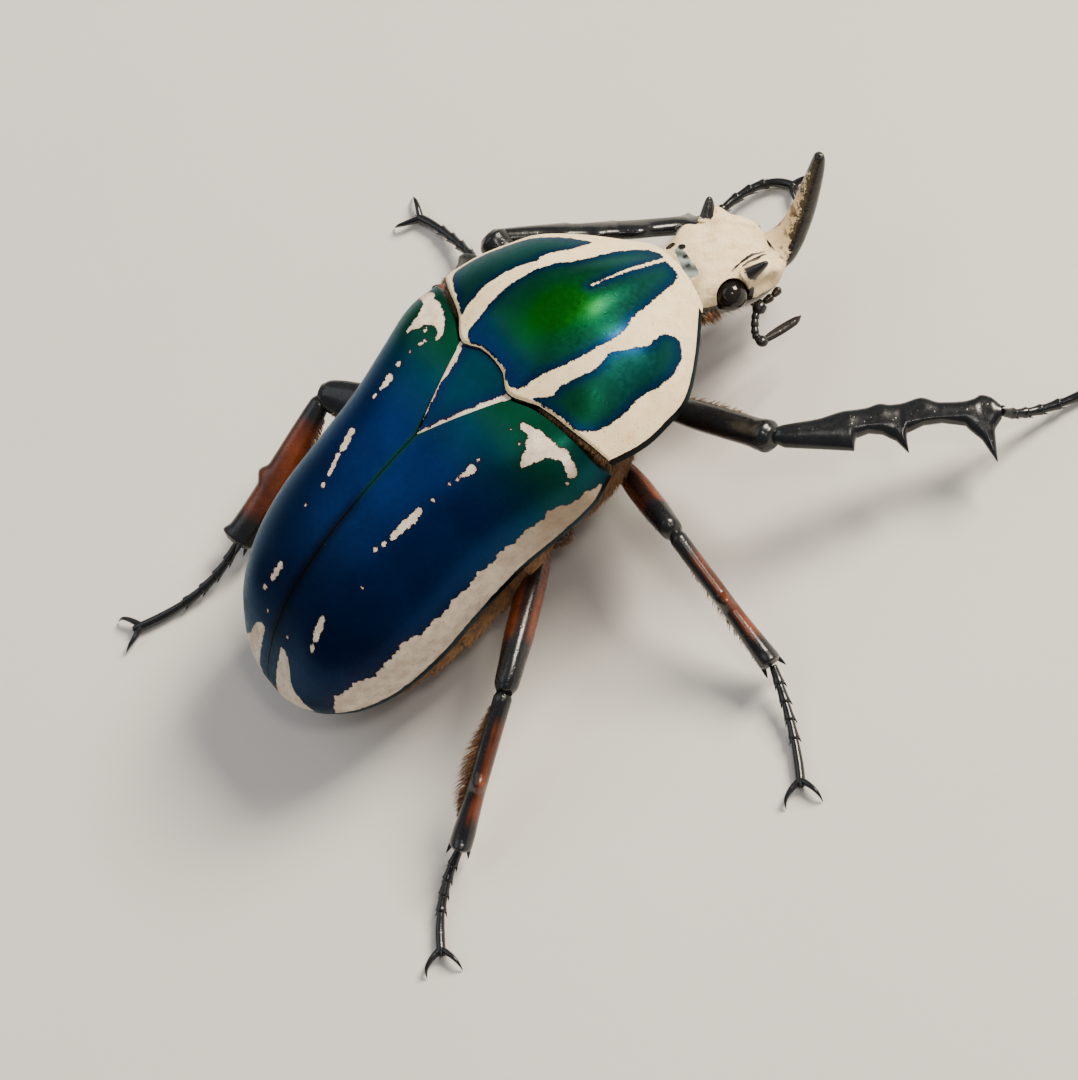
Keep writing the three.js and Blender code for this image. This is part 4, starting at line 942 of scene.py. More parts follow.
def build_scutellum():
    """The shield between the elytra, with a cream line along each of its sides."""
    rows, cols = SCUTELLUM_GRID
    t = np.linspace(0, 1, rows)[:, None]
    a = np.linspace(-1, 1, cols)[None]
    front = SCUTELLUM_FRONT + SCUTELLUM_ARCH * (1 - a**2) + 0.35
    x = front + (SCUTELLUM_APEX + 0.2 - front) * t
    visible = (SCUTELLUM_HALF - 0.12) * (1 - t)
    half = visible + 0.3 * (1 - 0.7 * t)
    top = smooth(ELYTRA_D, ELYTRA_TOP, -x) - 0.05 - 0.12 * (1 - t)
    z = top - 0.12 * np.abs(a) ** 3
    outer = np.stack([x, a * half, z], -1)
    inner = np.stack([x, a * half * 0.92, z - 1.1], -1)
    edge = visible - np.abs(a) * half
    right_line = 0.28 * (1 - 0.6 * t) * ramp(1.0, 0.9, t)
    left_line = 0.34 * ramp(0.0, 0.12, t) * ramp(0.52, 0.25, t) - 0.08
    cream = np.where(a < 0, right_line, left_line) - edge
    teal, deep = np.array([0.0004, 0.040, 0.062]), np.array([0.0004, 0.018, 0.070])
    forward = ramp(0.9, 0.1, t)[..., None]
    colour = deep + (teal - deep) * (0.35 + 0.65 * forward) * ramp(0.0, 1.6, edge)[..., None]
    add_plate("scutellum", BODY, outer, inner, ELYTRA_SKIN, "pronotum", True, colour,
              cream=cream, rim=np.full(x.shape, -1.0))


# Lower bodies

def body_rings(table, xs, swell, sides, crown_inset=0.0):
    """Rings of a lower body from its table of stations."""
    xs = np.asarray(xs, float)[:, None]
    swell = np.asarray(swell, float).reshape(-1, 1)
    angle = np.linspace(0, 2 * np.pi, sides, endpoint=False)[None]
    c, s = np.cos(angle), np.sin(angle)
    half = smooth(table["x"], table["half"], xs) + swell
    top = smooth(table["x"], table["top"], xs)
    side = smooth(table["x"], table["side"], xs)
    keel = smooth(table["x"], table["keel"], xs) - swell
    inset = crown_inset * np.clip(s / 0.22, 0, 1)
    y = (half - inset) * np.sign(c) * np.abs(c) ** 0.85
    z = np.where(s > 0, (top - side) * np.abs(s) ** 0.85, -(side - keel) * np.abs(s) ** 0.95)
    return np.stack([xs + 0 * y, y, side + z], -1)


def add_underside(name, rings, matrix, colours):
    """Adds one of the lower bodies."""
    add_skin(name, matrix, lofted(rings, colours), UNDER_SKIN, PLATE_SHARP)


def build_abdomen():
    """The abdomen with a small step at the end of each of its plates."""
    xs = np.linspace(ABDOMEN["x"][0], ABDOMEN["x"][-1], ABDOMEN_ROWS)
    swell, edge = np.zeros(ABDOMEN_ROWS), np.zeros(ABDOMEN_ROWS)
    for end in VENTRITE_ENDS:
        swell += 0.06 * ramp(end + 2.0, end + 0.1, xs) * (xs > end)
        swell -= VENTRITE_STEP * ramp(end + 0.06, end - 0.06, xs) * ramp(end - 2.6, end - 0.1, xs)
        edge = np.maximum(edge, np.exp(-((xs - end) / 0.22) ** 2))
    rings = body_rings(ABDOMEN, xs, swell, BODY_SIDES, CROWN_INSET)
    add_underside("abdomen", rings, BODY, np.array([0.11, 0.05, 0.016]) * (1 - 0.8 * edge[:, None, None]))
    return rings


def build_pygidium():
    """The rounded end plate behind the abdomen."""
    rows, sides = PYGIDIUM_GRID
    base = body_rings(ABDOMEN, [ABDOMEN["x"][-1]], [0.0], sides)[0]
    xs, scales = zip(*PYGIDIUM_RINGS)
    rings = []
    for x in np.linspace(xs[0], xs[-1], rows):
        scale = smooth(xs, scales, x)
        rings.append(np.stack([np.full(sides, x), base[:, 1] * scale,
                               3.3 + (np.minimum(base[:, 2], 4.15) - 3.3) * scale], -1))
    add_underside("pygidium", np.array(rings), BODY, [0.05, 0.022, 0.012])


def build_thorax():
    """The body above the mid and hind hips."""
    xs = np.linspace(THORAX["x"][0], THORAX["x"][-1], THORAX_ROWS)
    rings = body_rings(THORAX, xs, 0 * xs, BODY_SIDES)
    add_underside("thorax_underside", rings, BODY, [0.03, 0.018, 0.009])
    return rings


def build_prothorax():
    """The body inside the pronotum, with the chest below it."""
    rings = []
    inset = PRONOTUM_WALL + GAP + 0.1
    turn_in = np.linspace(0, np.pi, 42)[1:-1]
    for u in np.linspace(0.06, 0.9, 60):
        crown = pronotum_points(np.full(60, u), columns(60) * 0.99, inset)
        keel = smooth([0, 0.35, 0.6, 0.92], [3.2, 3.0, 3.4, 4.6], u)
        side = crown[0]
        under = np.stack([np.full(40, crown[30, 0]), -side[1] * np.cos(turn_in) * 0.97,
                          side[2] - (side[2] - keel) * np.sin(turn_in)], -1)
        rings.append(np.concatenate([crown, under]))
    rings = np.array(rings)
    add_underside("prothorax_underside", rings, PROTHORAX, [0.03, 0.016, 0.008])
    return rings


# Head

def head_rings(xs, sides):
    """Plain rings of the head, before its ridges and sockets."""
    xs = np.asarray(xs, float)[:, None]
    angle = np.linspace(0, 2 * np.pi, sides, endpoint=False)[None]
    c, s = np.cos(angle), np.sin(angle)
    half, top, keel, hollow = (smooth(HEAD["x"], HEAD[key], xs) for key in ("half", "top", "keel", "scoop"))
    middle = (top + keel) / 2
    y = half * np.sign(c) * np.abs(c) ** 0.6 * np.where(s < 0, 1 + 0.2 * s, 1)
    tall = np.where(s > 0, top - middle, middle - keel)
    scoop = np.where(s > 0, hollow * (1 - (y / half) ** 2), 0)
    z = middle + tall * np.sign(s) * np.abs(s) ** 0.6 - scoop
    return np.stack([xs + 0 * y, y, z], -1)


def open_sockets(points):
    """Pulls the head's sides in around each eye, in a hollow that opens upward and outward."""
    x, z = points[..., 0], points[..., 2]
    side = np.sign(points[..., 1])
    for sign, opening in ((1, EYE_OPENING_LEFT), (-1, EYE_OPENING_RIGHT)):
        limit = np.full(x.shape, 9.0)
        for k in np.linspace(0, 1, 14):
            at = np.array(EYE_AT) + k * np.array(opening)
            radius = EYE_RADIUS + 0.06 + 0.12 * k
            inside = radius**2 - (x - at[0]) ** 2 - (z - at[2]) ** 2
            limit = np.minimum(limit, np.where(inside > 0, at[1] - np.sqrt(np.maximum(inside, 0)), 9.0))
        pulled = side * np.minimum(np.abs(points[..., 1]), limit)
        points[..., 1] = np.where(side == sign, pulled, points[..., 1])


def spot(at, centre, radii):
    """Distance-like value, positive inside an ellipsoid."""
    away = np.sqrt((((at - np.asarray(centre)) / np.asarray(radii)) ** 2).sum(-1))
    return (1 - away) * min(radii)


def shape_head():
    """The head's rings with its ridges, brows and eye sockets."""
    rows, sides = HEAD_GRID
    rings = head_rings(np.linspace(HEAD["x"][0], HEAD["x"][-1], rows), sides)
    x, y, z = rings[..., 0], rings[..., 1], rings[..., 2]
    side = np.sign(y)
    ridge_y = 3.15 - 0.22 * (x - 4.0)
    ridge = np.exp(-((np.abs(y) - ridge_y) / 0.2) ** 2) * ramp(3.8, 4.8, x) * ramp(9.4, 8.4, x) * (z > 0)
    rings[..., 2] += 0.2 * ridge
    rings[..., 2] += 0.07 * np.sin(x * 2.1 + 1.3 * y) * np.sin(y * 2.7 - 0.7 * x) * (z > -1)
    brow = hill((x, np.abs(y), z), BROW_AT, BROW_SIZE)
    rings[..., 1] += side * 0.55 * brow
    rings[..., 2] += 0.95 * brow
    temple = hill((x, np.abs(y), z), TEMPLE_AT, TEMPLE_SIZE)
    rings[..., 1] += side * np.where(side > 0, 0.7, 0.1) * temple
    rings[..., 2] += np.where(side > 0, 0.6, 0.1) * temple
    rings[..., 1] -= side * 0.8 * hill((x, np.abs(y), z), CHEEK_AT, CHEEK_SIZE)
    open_sockets(rings)
    return rings


def head_markings(rings):
    """How far each point lies inside the cream, and the colour of the bare skin there, which carries a
    painted sheen on the neck.
    """
    x, y, z = rings[..., 0], rings[..., 1], rings[..., 2]
    fold = np.stack([x, np.abs(y), z], -1)
    cream = z + 2.1 - 0.25 * ramp(4, 9, x)
    # Painted shade in the hollows by the brow
    for centre, radii in BROW_SHADE:
        cream = np.minimum(cream, -2.0 * spot(fold, centre, radii))
    above = rings[..., :2]
    # Painted shadow lines along the raised right side of the face
    for line in HEAD_SHADOW_LINES:
        cream = np.where(z > -0.6, np.minimum(cream, -2.4 * stroke_distance(above, line)), cream)
    sheen_stroke = stroke_distance(above, NECK_SHEEN)
    dark = np.full(x.shape, -9.0)
    for mark in NECK_BLACK:
        dark = np.maximum(dark, stroke_distance(above, mark))
    upper = z > -2.2
    cream = np.where(upper, np.minimum(cream, -2.0 * np.maximum(sheen_stroke, dark)), cream)
    cream = np.minimum(cream, 0.34 - 0.30 * ramp(7.8, 9.6, x) * ramp(0.8, 2.0, np.abs(y)))
    cream = np.minimum(cream, np.linalg.norm(fold - np.array(EYE_AT), axis=-1) - EYE_RADIUS - 0.12)
    # Painted sheen on the black neck, broken into brighter and duller bands
    painted_sheen = ramp(-0.2, 0.05, sheen_stroke) * ramp(0.1, -0.1, dark) * upper
    sheen_ripple = 0.62 + 0.38 * np.sin(3.4 * y + 4.0 * x + 2.0)
    return cream, mix(HEAD_BLACK, SHEEN_GREY * sheen_ripple[..., None], painted_sheen)


def build_head():
    """The head with its two brow teeth."""
    rings = shape_head()
    cream, colours = head_markings(rings)
    parts = [lofted(rings, colours, cream=cream)]
    for side, tip in ((1, TOOTH_TIP_LEFT), (-1, TOOTH_TIP_RIGHT)):
        base = mirrored(TOOTH_BASE, side)
        t = np.linspace(0, 1, 40)
        radius = gentle([0, 0.3, 0.6, 0.85, 0.97, 1], [0.95, 0.74, 0.56, 0.37, 0.20, 0.03], t)
        at = base + (np.array(tip) - base) * t[:, None]
        tooth, _ = tube(at, radius, radius, radius * 0.8, (1, 0, 0), 24)
        bare = np.broadcast_to((0.16 - t)[:, None] * 1.6, tooth.shape[:2])
        parts.append(lofted(tooth, 0.012, cream=bare))
    add_skin("head", HEAD_FRAME, merge(*parts), HEAD_SKIN, PLATE_SHARP)
    return rings


def build_horn():
    """The horn, with cream that runs out along its rear side."""
    rows, sides = HORN_GRID
    t = np.linspace(0, 1, rows)
    keys = np.linspace(0, 1, len(HORN["x"]))
    x, z = (smooth(keys, HORN[key], t) for key in ("x", "z"))
    thick, wide = (gentle(keys, HORN[key], t) for key in ("thick", "wide"))
    at = np.stack([x, 0 * x, z], -1)
    rings, angle = tube(at, thick, thick, wide, (1, 0, 0.35), sides)
    facing = -0.82 * np.cos(angle) + 0.57 * np.sin(angle)
    bare = gentle([0, 0.12, 0.3, 0.5, 0.68, 0.85, 1], [-1.0, -0.6, 0.15, 0.55, 0.85, 1.3, 1.6], t)
    brown = ramp(0.7, 0.2, t)[:, None] * ramp(-0.3, 0.6, facing)
    colours = np.array([0.009, 0.008, 0.008]) + brown[..., None] * np.array([0.07, 0.040, 0.022])
    part = lofted(rings, colours, cream=(facing - bare[:, None]) * 0.7)
    add_skin("horn", HEAD_FRAME, part, HORN_SKIN, ROUND_SHARP)


def along_path(path, t):
    """Points of the smooth curve through a path, at the shares t of its length."""
    path = np.asarray(path, float)
    keys = np.linspace(0, 1, len(path))
    return np.stack([smooth(keys, path[:, k], t) for k in range(3)], -1)


def segment(path, begin, end, count, keys, radii, sides, colour):
    """One round joint of an antenna or palp."""
    t = np.linspace(begin, end, count)
    radius = gentle(keys, radii, (t - begin) / (end - begin))
    return lofted(tube(along_path(path, t), radius, radius, radius, UP, sides)[0], colour)


def build_face_parts():
    """Eyes, antennae and palps."""
    for name, side in (("left", 1), ("right", -1)):
        eye = ball_rings(mirrored(EYE_AT, side), (EYE_RADIUS,) * 3, *EYE_GRID)
        add_skin(f"eye_{name}", HEAD_FRAME, lofted(eye, 0.01), EYE_SKIN, ROUND_SHARP)
        stem = mirrored(ANTENNA_STEM, side)
        parts = [segment(stem, 0, 0.32, 30, [0, 0.1, 0.6, 1], [0.25, 0.5, 0.62, 0.3], 24, ANTENNA_BLACK)]
        for k in range(6):
            a = 0.3 + 0.115 * k
            parts.append(segment(stem, a, a + 0.13, 18, [0, 0.15, 0.7, 1], [0.27, 0.33, 0.38, 0.26], 20,
                                 ANTENNA_BLACK))
        parts.append(lofted(ball_rings(stem[3], (0.58, 0.58, 0.48), 24, 16), ANTENNA_BLACK))
        for k in (-1, 0, 1):
            t = np.linspace(0, 1, 40)
            at = along_path(mirrored(ANTENNA_CLUB, side), t) + np.array([0, 0, 0.24 * k])
            width = gentle([0, 0.15, 0.5, 0.85, 1], [0.2, 0.29, 0.36, 0.30, 0.08], t)
            parts.append(lofted(tube(at, 0.10, 0.10, width, UP, 20)[0], CLUB_BLACK))
        add_skin(f"antenna_{name}", HEAD_FRAME, merge(*parts), BLACK_SKIN, ROUND_SHARP)
        palp = merge(*(segment(mirrored(PALP, side), a, b, 20, [0, 0.2, 0.75, 1], [0.2, 0.32, 0.4, 0.2], 20,
                               PALP_BROWN) for a, b in ((0.0, 0.36), (0.34, 0.68), (0.66, 1.0))))
        add_skin(f"palp_{name}", HEAD_FRAME, palp, BLACK_SKIN, ROUND_SHARP)


# Legs

RED = np.array([0.125, 0.028, 0.009])
INK = np.array([0.006, 0.007, 0.009])


def shin_colours(t, angle, name):
    """Red-brown with black ends and a black edge, which is wider on the right legs."""
    edge = ramp(0.86, 0.6, np.cos(angle)) if name.endswith("left") else ramp(-0.42, 0.02, -np.sin(angle))
    red = (ramp(0.12, 0.26, t) * ramp(0.86, 0.74, t))[:, None] * edge
    streak = 0.75 + 0.25 * np.sin(2.5 * angle + 9 * t[:, None])
    return mix(INK, RED * streak[..., None], red)


def thigh_colours(t, angle):
    """Red-brown with a black stripe along the top and a black end."""
    red = ramp(0.04, 0.12, t) * ramp(0.74, 0.64, t)
    return mix(INK, RED, red[:, None] * (1 - 0.9 * ramp(0.80, 0.95, np.cos(angle))))


def build_leg(name, data):
    """Adds one leg, and returns the rings and the joint ends that its hair grows from."""
    pair, side_name = name.split("_")
    side = 1 if side_name == "left" else -1
    black_leg = pair == "fore"
    skin, slot = (BLACK_SKIN, "black_cuticle") if black_leg else (RED_SKIN, "red_cuticle")
    hip_at = mirrored(COXA[pair]["at"], side)
    radii = COXA[pair]["radii"]
    centre = carry(BODY, hip_at)
    knee, ankle, bend, foot = (np.array(data[key]) for key in ("knee", "ankle", "bend", "foot"))
    thigh = unit(knee - centre)
    shin = unit(ankle - knee)
    local = BODY[:3, :3].T @ thigh
    reach = 1 / math.sqrt(sum((local[k] / radii[k]) ** 2 for k in range(3)))
    start = centre + thigh * (reach + GAP + 0.05)
    thigh_out = unit(thigh * (shin @ thigh) - shin)
    shin_out = unit(thigh - shin * (shin @ thigh))
    if black_leg:
        level = np.cross([0, 0, side], shin)
        level[2] = data["roll"]
        shin_out = unit(level - shin * (shin @ level))

    coxa = lofted(ball_rings(hip_at, radii, *COXA_GRID), INK * 1.4)
    add_skin(f"coxa_{name}", BODY, coxa, BLACK_SKIN, ROUND_SHARP)

    t = np.linspace(0, 1, FEMUR_ROWS)
    out = gentle(FEMUR_AT, FEMUR[pair]["out"], t)
    half = gentle(FEMUR_AT, FEMUR[pair]["half"], t)
    at = start + (knee + thigh * 0.5 - start) * t[:, None]
    femur, angle = tube(at, out, out, half, thigh_out, LEG_SIDES)
    trochanter = ball_rings(start - thigh * 0.1, (0.95, 0.95, 0.95), 32, 22)
    part = merge(lofted(femur, INK if black_leg else thigh_colours(t, angle)), lofted(trochanter, INK))
    add_skin(f"femur_{name}", FLOOR, part, skin, ROUND_SHARP)

    table = TIBIA[pair]
    t = np.linspace(0, 1, TIBIA_ROWS)
    swell = 1 + (BROAD_SHIN - 1) * np.sin(np.pi * t) if name == "hind_left" else 1.0
    outer = np.interp(t, table["at"], table["outer"]) if black_leg else gentle(table["at"], table["outer"], t)
    inner = gentle(table["at"], table["inner"], t) * swell
    half = gentle(table["at"], table["half"], t) * swell
    begin = knee + shin * 0.15
    at = begin + (ankle - begin) * t[:, None]
    tibia, angle = tube(at, outer, inner, half, shin_out, LEG_SIDES, TOOTH_LEAN if black_leg else 0.0)
    parts = [lofted(tibia, INK if black_leg else shin_colours(t, angle, name))]
    across = np.cross(shin, shin_out)
    for sign in ((1,) if black_leg else (1, -1)):
        base = ankle - shin * 0.9 + across * sign * 0.62 - shin_out * 0.5
        tip = base + shin * SPUR_LENGTH[pair] + across * sign * 0.4 - shin_out * 0.3
        tip[2] = max(tip[2], 0.35)
        s = np.linspace(0, 1, 16)
        radius = gentle([0, 0.6, 1], [0.30, 0.2, 0.03], s)
        spur, _ = tube(base + (tip - base) * s[:, None], radius, radius, radius, shin_out, 14)
        parts.append(lofted(spur, INK))
    add_skin(f"tibia_{name}", FLOOR, merge(*parts), skin, SHIN_SHARP)
    return {"tibia": tibia, "femur": femur, "tarsus": build_tarsus(name, shin, ankle, bend, foot)}


def toe_path(shin, ankle, bend, foot, t):
    """Points of the bent path from the ankle to the claws, at the shares t."""
    t = np.asarray(t, float)[..., None]
    begin = ankle + shin * 0.1
    return (begin * (1 - t) + bend * t) * (1 - t) + (bend * (1 - t) + foot * t) * t


def on_floor(rings):
    """Rings with no point below the floor."""
    rings[..., 2] = np.maximum(rings[..., 2], 0)
    return rings


def build_tarsus(name, shin, ankle, bend, foot):
    """Adds the foot's joints, spines and claws, and returns the end and heading of each joint."""
    parts, roots = [], []
    for t0, t1 in zip(TARSUS_JOINTS[:-1], TARSUS_JOINTS[1:]):
        s = np.linspace(0, 1, 26)
        at = toe_path(shin, ankle, bend, foot, t0 + (t1 - t0) * (s * 1.04 - 0.02))
        flare = 0.46 if t1 == 1 else 0.54
        radius = gentle([0, 0.12, 0.6, 0.9, 1], [0.34, 0.39, 0.46, flare, 0.32], s)
        parts.append(lofted(on_floor(tube(at, radius, radius, radius * 0.95, UP, 24)[0]), INK))
        end, heading = at[-3], unit(at[-1] - at[-8])
        sideways = unit(np.cross(heading, UP))
        roots.append((end, heading))
        for sign in (1, -1):
            q = np.linspace(0, 1, 8)[:, None]
            base = end + sideways * sign * 0.4 - np.array([0, 0, 0.15])
            spine_at = base + (heading * 0.42 + sideways * sign * 0.16) * q
            taper = 0.10 * (1 - q[:, 0]) + 0.02
            parts.append(lofted(on_floor(tube(spine_at, taper, taper, taper, UP, 8)[0]), INK))
    heading = toe_path(shin, ankle, bend, foot, 1.0) - toe_path(shin, ankle, bend, foot, 0.9)
    heading[2] = 0
    heading = unit(heading)
    sideways = np.cross(heading, UP)
    root = toe_path(shin, ankle, bend, foot, 0.95)
    q = np.linspace(0, 1, 40)
    lift = smooth([0, 0.35, 0.7, 1], [0.0, 0.22, 0.12, -0.45], q)
    radius = gentle([0, 0.2, 0.6, 1], [0.4, 0.36, 0.24, 0.04], q)
    for sign in (1, -1):
        spread = sideways * (sign * CLAW_SPREAD * np.sin(q * 1.5))[:, None]
        at = root + heading * (q * CLAW_LENGTH)[:, None] + spread + np.stack([0 * q, 0 * q, lift], -1)
        parts.append(lofted(on_floor(tube(at, radius, radius, radius * 0.8, UP, 20)[0]), INK))
    add_skin(f"tarsus_{name}", FLOOR, merge(*parts), BLACK_SKIN, ROUND_SHARP)
    return roots


# Hair: each hair is a thin bent cone rooted in the skin, with four rings of three points

HAIR_STAGES = [(0.0, 1.0), (0.4, 0.85), (0.75, 0.5), (1.0, 0.06)]
HAIR_ROOT = 0.06
HAIR_FLOOR_GAP = 0.05
HAIR_LIGHT = np.array([0.48, 0.24, 0.07])
HAIR_DEEP = np.array([0.17, 0.062, 0.015])


def grid_normals(rings):
    """Outward normals of a ring grid's points."""
    du = np.gradient(rings, axis=0)
    padded = np.concatenate([rings[:, -1:], rings, rings[:, :1]], axis=1)
    dv = (padded[:, 2:] - padded[:, :-2]) / 2
    normal = unit(np.cross(du, dv))
    middle = rings.mean(1, keepdims=True)
    facing = np.sign(((rings - middle) * normal).sum(-1).mean())
    return normal * facing


def scatter(rings, count, rows, columns_range, matrix=FLOOR):
    """Random roots on a ring grid, between given shares of its rows and columns."""
    placed = carry(matrix, rings)
    normals = grid_normals(placed)
    n, k = rings.shape[:2]
    u = random.uniform(rows[0], rows[1], count)
    v = random.uniform(columns_range[0], columns_range[1], count) % 1.0
    i = np.clip((u * (n - 1)).astype(int), 0, n - 2)
    j = (v * k).astype(int) % k
    f = (u * (n - 1) - i)[:, None]
    g = (v * k - (v * k).astype(int))[:, None]
    j2 = (j + 1) % k
    root = (placed[i, j] * (1 - f) * (1 - g) + placed[i + 1, j] * f * (1 - g)
            + placed[i, j2] * (1 - f) * g + placed[i + 1, j2] * f * g)
    along = unit(placed[i + 1, j] - placed[i, j])
    return root, normals[i, j], along, np.stack([u, v], -1)


def build_hair(name, strands, material, width):
    """Builds hairs from (roots, directions, lengths, droop, uv, colours) arrays."""
    roots, directions, lengths, droop, uv, tints = (np.concatenate(column) for column in zip(*strands))
    directions = unit(directions)
    count = len(roots)
    side = unit(np.cross(directions, random.normal(size=(count, 3))))
    other = np.cross(directions, side)
    rings = []
    for t, size in HAIR_STAGES:
        at = roots - directions * HAIR_ROOT * (t == 0) + directions * (lengths * t)[:, None]
        at = at + droop * (lengths * t * t)[:, None]
        for k in range(3):
            angle = 2 * np.pi * k / 3
            offset = side * math.cos(angle) + other * math.sin(angle)
            rings.append(at + offset * (width / 2) * size)
    points = np.stack(rings, 1)
    points[..., 2] = np.maximum(points[..., 2], HAIR_FLOOR_GAP)
    pattern = grid_faces(len(HAIR_STAGES), 3, wrap=True) + [(2, 1, 0), (9, 10, 11)]
    faces = [tuple(12 * hair + i for i in face) for hair in range(count) for face in pattern]
    part = (points.reshape(-1, 3), faces, {}, np.repeat(tints, 12, axis=0))
    piece = add_piece(name, FLOOR, part, material, HAIR_SHARP)
    layer = piece.data.uv_layers.new(name="OFBake")
    corners = np.zeros(len(piece.data.loops), int)
    piece.data.loops.foreach_get("vertex_index", corners)
    place = corners % 12
    patch = np.stack([(place % 3) / 3, (place // 3) / 3], -1) * 0.003 - 0.0015
    spread = np.clip(uv[corners // 12] * 0.99 + 0.005 + patch, 0, 1)
    layer.data.foreach_set("uv", spread.astype(np.float32).ravel())


def golden(count, dark=0.5):
    """Random hair colours, of which more are deep brown the larger dark is."""
    t = random.uniform(0, 1, (count, 1)) ** (1 + dark)
    return HAIR_LIGHT * t + HAIR_DEEP * (1 - t)


def strands_on(rings, count, rows, columns_range, matrix, length, lift, back, tile, dark=0.5):
    """Hair that lies back along a body from its roots."""
    root, normal, along, uv = scatter(rings, count, rows, columns_range, matrix)
    jitter = random.normal(scale=0.16, size=(count, 3))
    direction = normal * lift + along * back + jitter
    lengths = random.uniform(0.55, 1.0, count) * length
    droop = np.broadcast_to([0, 0, -0.25], (count, 3)) + along * back * 0.15
    tile_uv = (uv + np.array(tile)) / 4
    return root, direction, lengths, droop, tile_uv, golden(count, dark)


def build_body_hair(abdomen, thorax, prothorax):
    """Short hair below the elytra, around the hips and on the chest."""
    strands = [
        strands_on(abdomen, 2600, (0.02, 0.98), (0.80, 1.04), BODY, 0.45, 0.2, 1.0, (0, 0)),
        strands_on(abdomen, 2600, (0.02, 0.98), (0.46, 0.70), BODY, 0.45, 0.2, 1.0, (1, 0)),
        strands_on(thorax, 2600, (0.02, 0.98), (0.78, 1.06), BODY, 0.8, 0.4, 1.0, (2, 0)),
        strands_on(thorax, 2600, (0.02, 0.98), (0.44, 0.72), BODY, 0.8, 0.4, 1.0, (3, 0)),
    ]
    for k, (pair, side) in enumerate((pair, side) for pair in ("mid", "hind") for side in (1, -1)):
        hip = ball_rings(np.array(COXA[pair]["at"]) * [1, side, 1], COXA[pair]["radii"])
        strands.append(strands_on(hip, 500, (0.05, 0.95), (0.0, 1.0), BODY, 0.6, 0.3, 0.6 * -side, (k, 1)))
    build_hair("body_hair", strands, HAIR, 0.06)
    strands = [
        strands_on(prothorax, 1500, (0.0, 0.95), (0.60, 0.76), PROTHORAX, 1.4, 0.6, -0.6, (0, 1)),
        strands_on(prothorax, 1500, (0.0, 0.95), (0.84, 1.0), PROTHORAX, 1.4, 0.6, -0.6, (1, 1)),
    ]
    build_hair("chest_hair", strands, HAIR, 0.07)


def fringe(rings, count, rows, centre_turn, spread, length, sweep, tile, dark):
    """A comb of hair along a leg, at one turn around it."""
    root, normal, along, uv = scatter(rings, count, rows, (centre_turn - spread, centre_turn + spread))
    direction = normal + along * sweep + random.normal(scale=0.14, size=(count, 3))
    share = (uv[:, 0] - rows[0]) / (rows[1] - rows[0])
    lengths = random.uniform(0.4, 1.0, count) * length * np.sin(np.pi * np.clip(share, 0.04, 0.97)) ** 0.7
    droop = along * 0.25 + np.array([0, 0, -0.1])
    return root, direction, lengths, droop, (uv + np.array(tile)) / 4, golden(count, dark)


def build_leg_hair(legs):
    """Fringes on the shins and thighs, and dark bristles on the feet."""
    strands = []
    for k, (name, leg) in enumerate(legs.items()):
        tile = (k % 4, k // 4)
        inner_turn = 0.36 if name.endswith("right") else 0.64
        if name.startswith("hind"):
            # The left shin's fringe stands on the side that the camera doesn't see
            turn_at, count, length = (0.42, 700, 1.4) if name.endswith("left") else (inner_turn, 1000, 2.1)
            strands.append(fringe(leg["tibia"], count, (0.12, 0.82), turn_at, 0.05, length, 0.7, tile, 3.0))
            strands.append(fringe(leg["femur"], 300, (0.1, 0.9), 0.5, 0.12, 0.7, 0.8, tile, 0.8))
        elif name.startswith("mid"):
            strands.append(fringe(leg["tibia"], 240, (0.15, 0.97), inner_turn, 0.07, 0.8, 0.9, tile, 1.0))
            strands.append(fringe(leg["femur"], 300, (0.05, 0.9), 0.5, 0.14, 0.7, 0.8, tile, 0.8))
        else:
            strands.append(fringe(leg["femur"], 300, (0.02, 0.7), 0.5, 0.14, 0.8, 0.8, tile, 0.6))
    build_hair("leg_hair", strands, HAIR, 0.07)
    strands = []
    for k, leg in enumerate(legs.values()):
        for end, heading in leg["tarsus"]:
            count = 14
            direction = heading + random.normal(scale=0.35, size=(count, 3)) + np.array([0, 0, -0.2])
            root = np.repeat(end[None], count, 0) + random.normal(scale=0.12, size=(count, 3))
            uv = np.full((count, 2), 0.1 + 0.14 * k) + random.uniform(0, 0.05, (count, 2))
            strands.append((root, direction, random.uniform(0.5, 0.9, count), np.zeros((count, 3)), uv,
                            np.broadcast_to(INK * 1.5, (count, 3))))
    build_hair("foot_bristles", strands, DARK_HAIR, 0.06)


def build_head_hair(head):
    """Hair below the neck and on the chin."""
    strands = [
        strands_on(head, 420, (0.02, 0.4), (0.86, 1.0), HEAD_FRAME, 0.9, 0.9, 0.3, (0, 2), 0.2),
        strands_on(head, 420, (0.02, 0.4), (0.5, 0.64), HEAD_FRAME, 0.9, 0.9, 0.3, (1, 2), 0.2),
        strands_on(head, 500, (0.3, 0.98), (0.62, 0.88), HEAD_FRAME, 0.9, 0.7, 0.6, (2, 2), 0.4),
    ]
    build_hair("face_hair", strands, HAIR, 0.06)


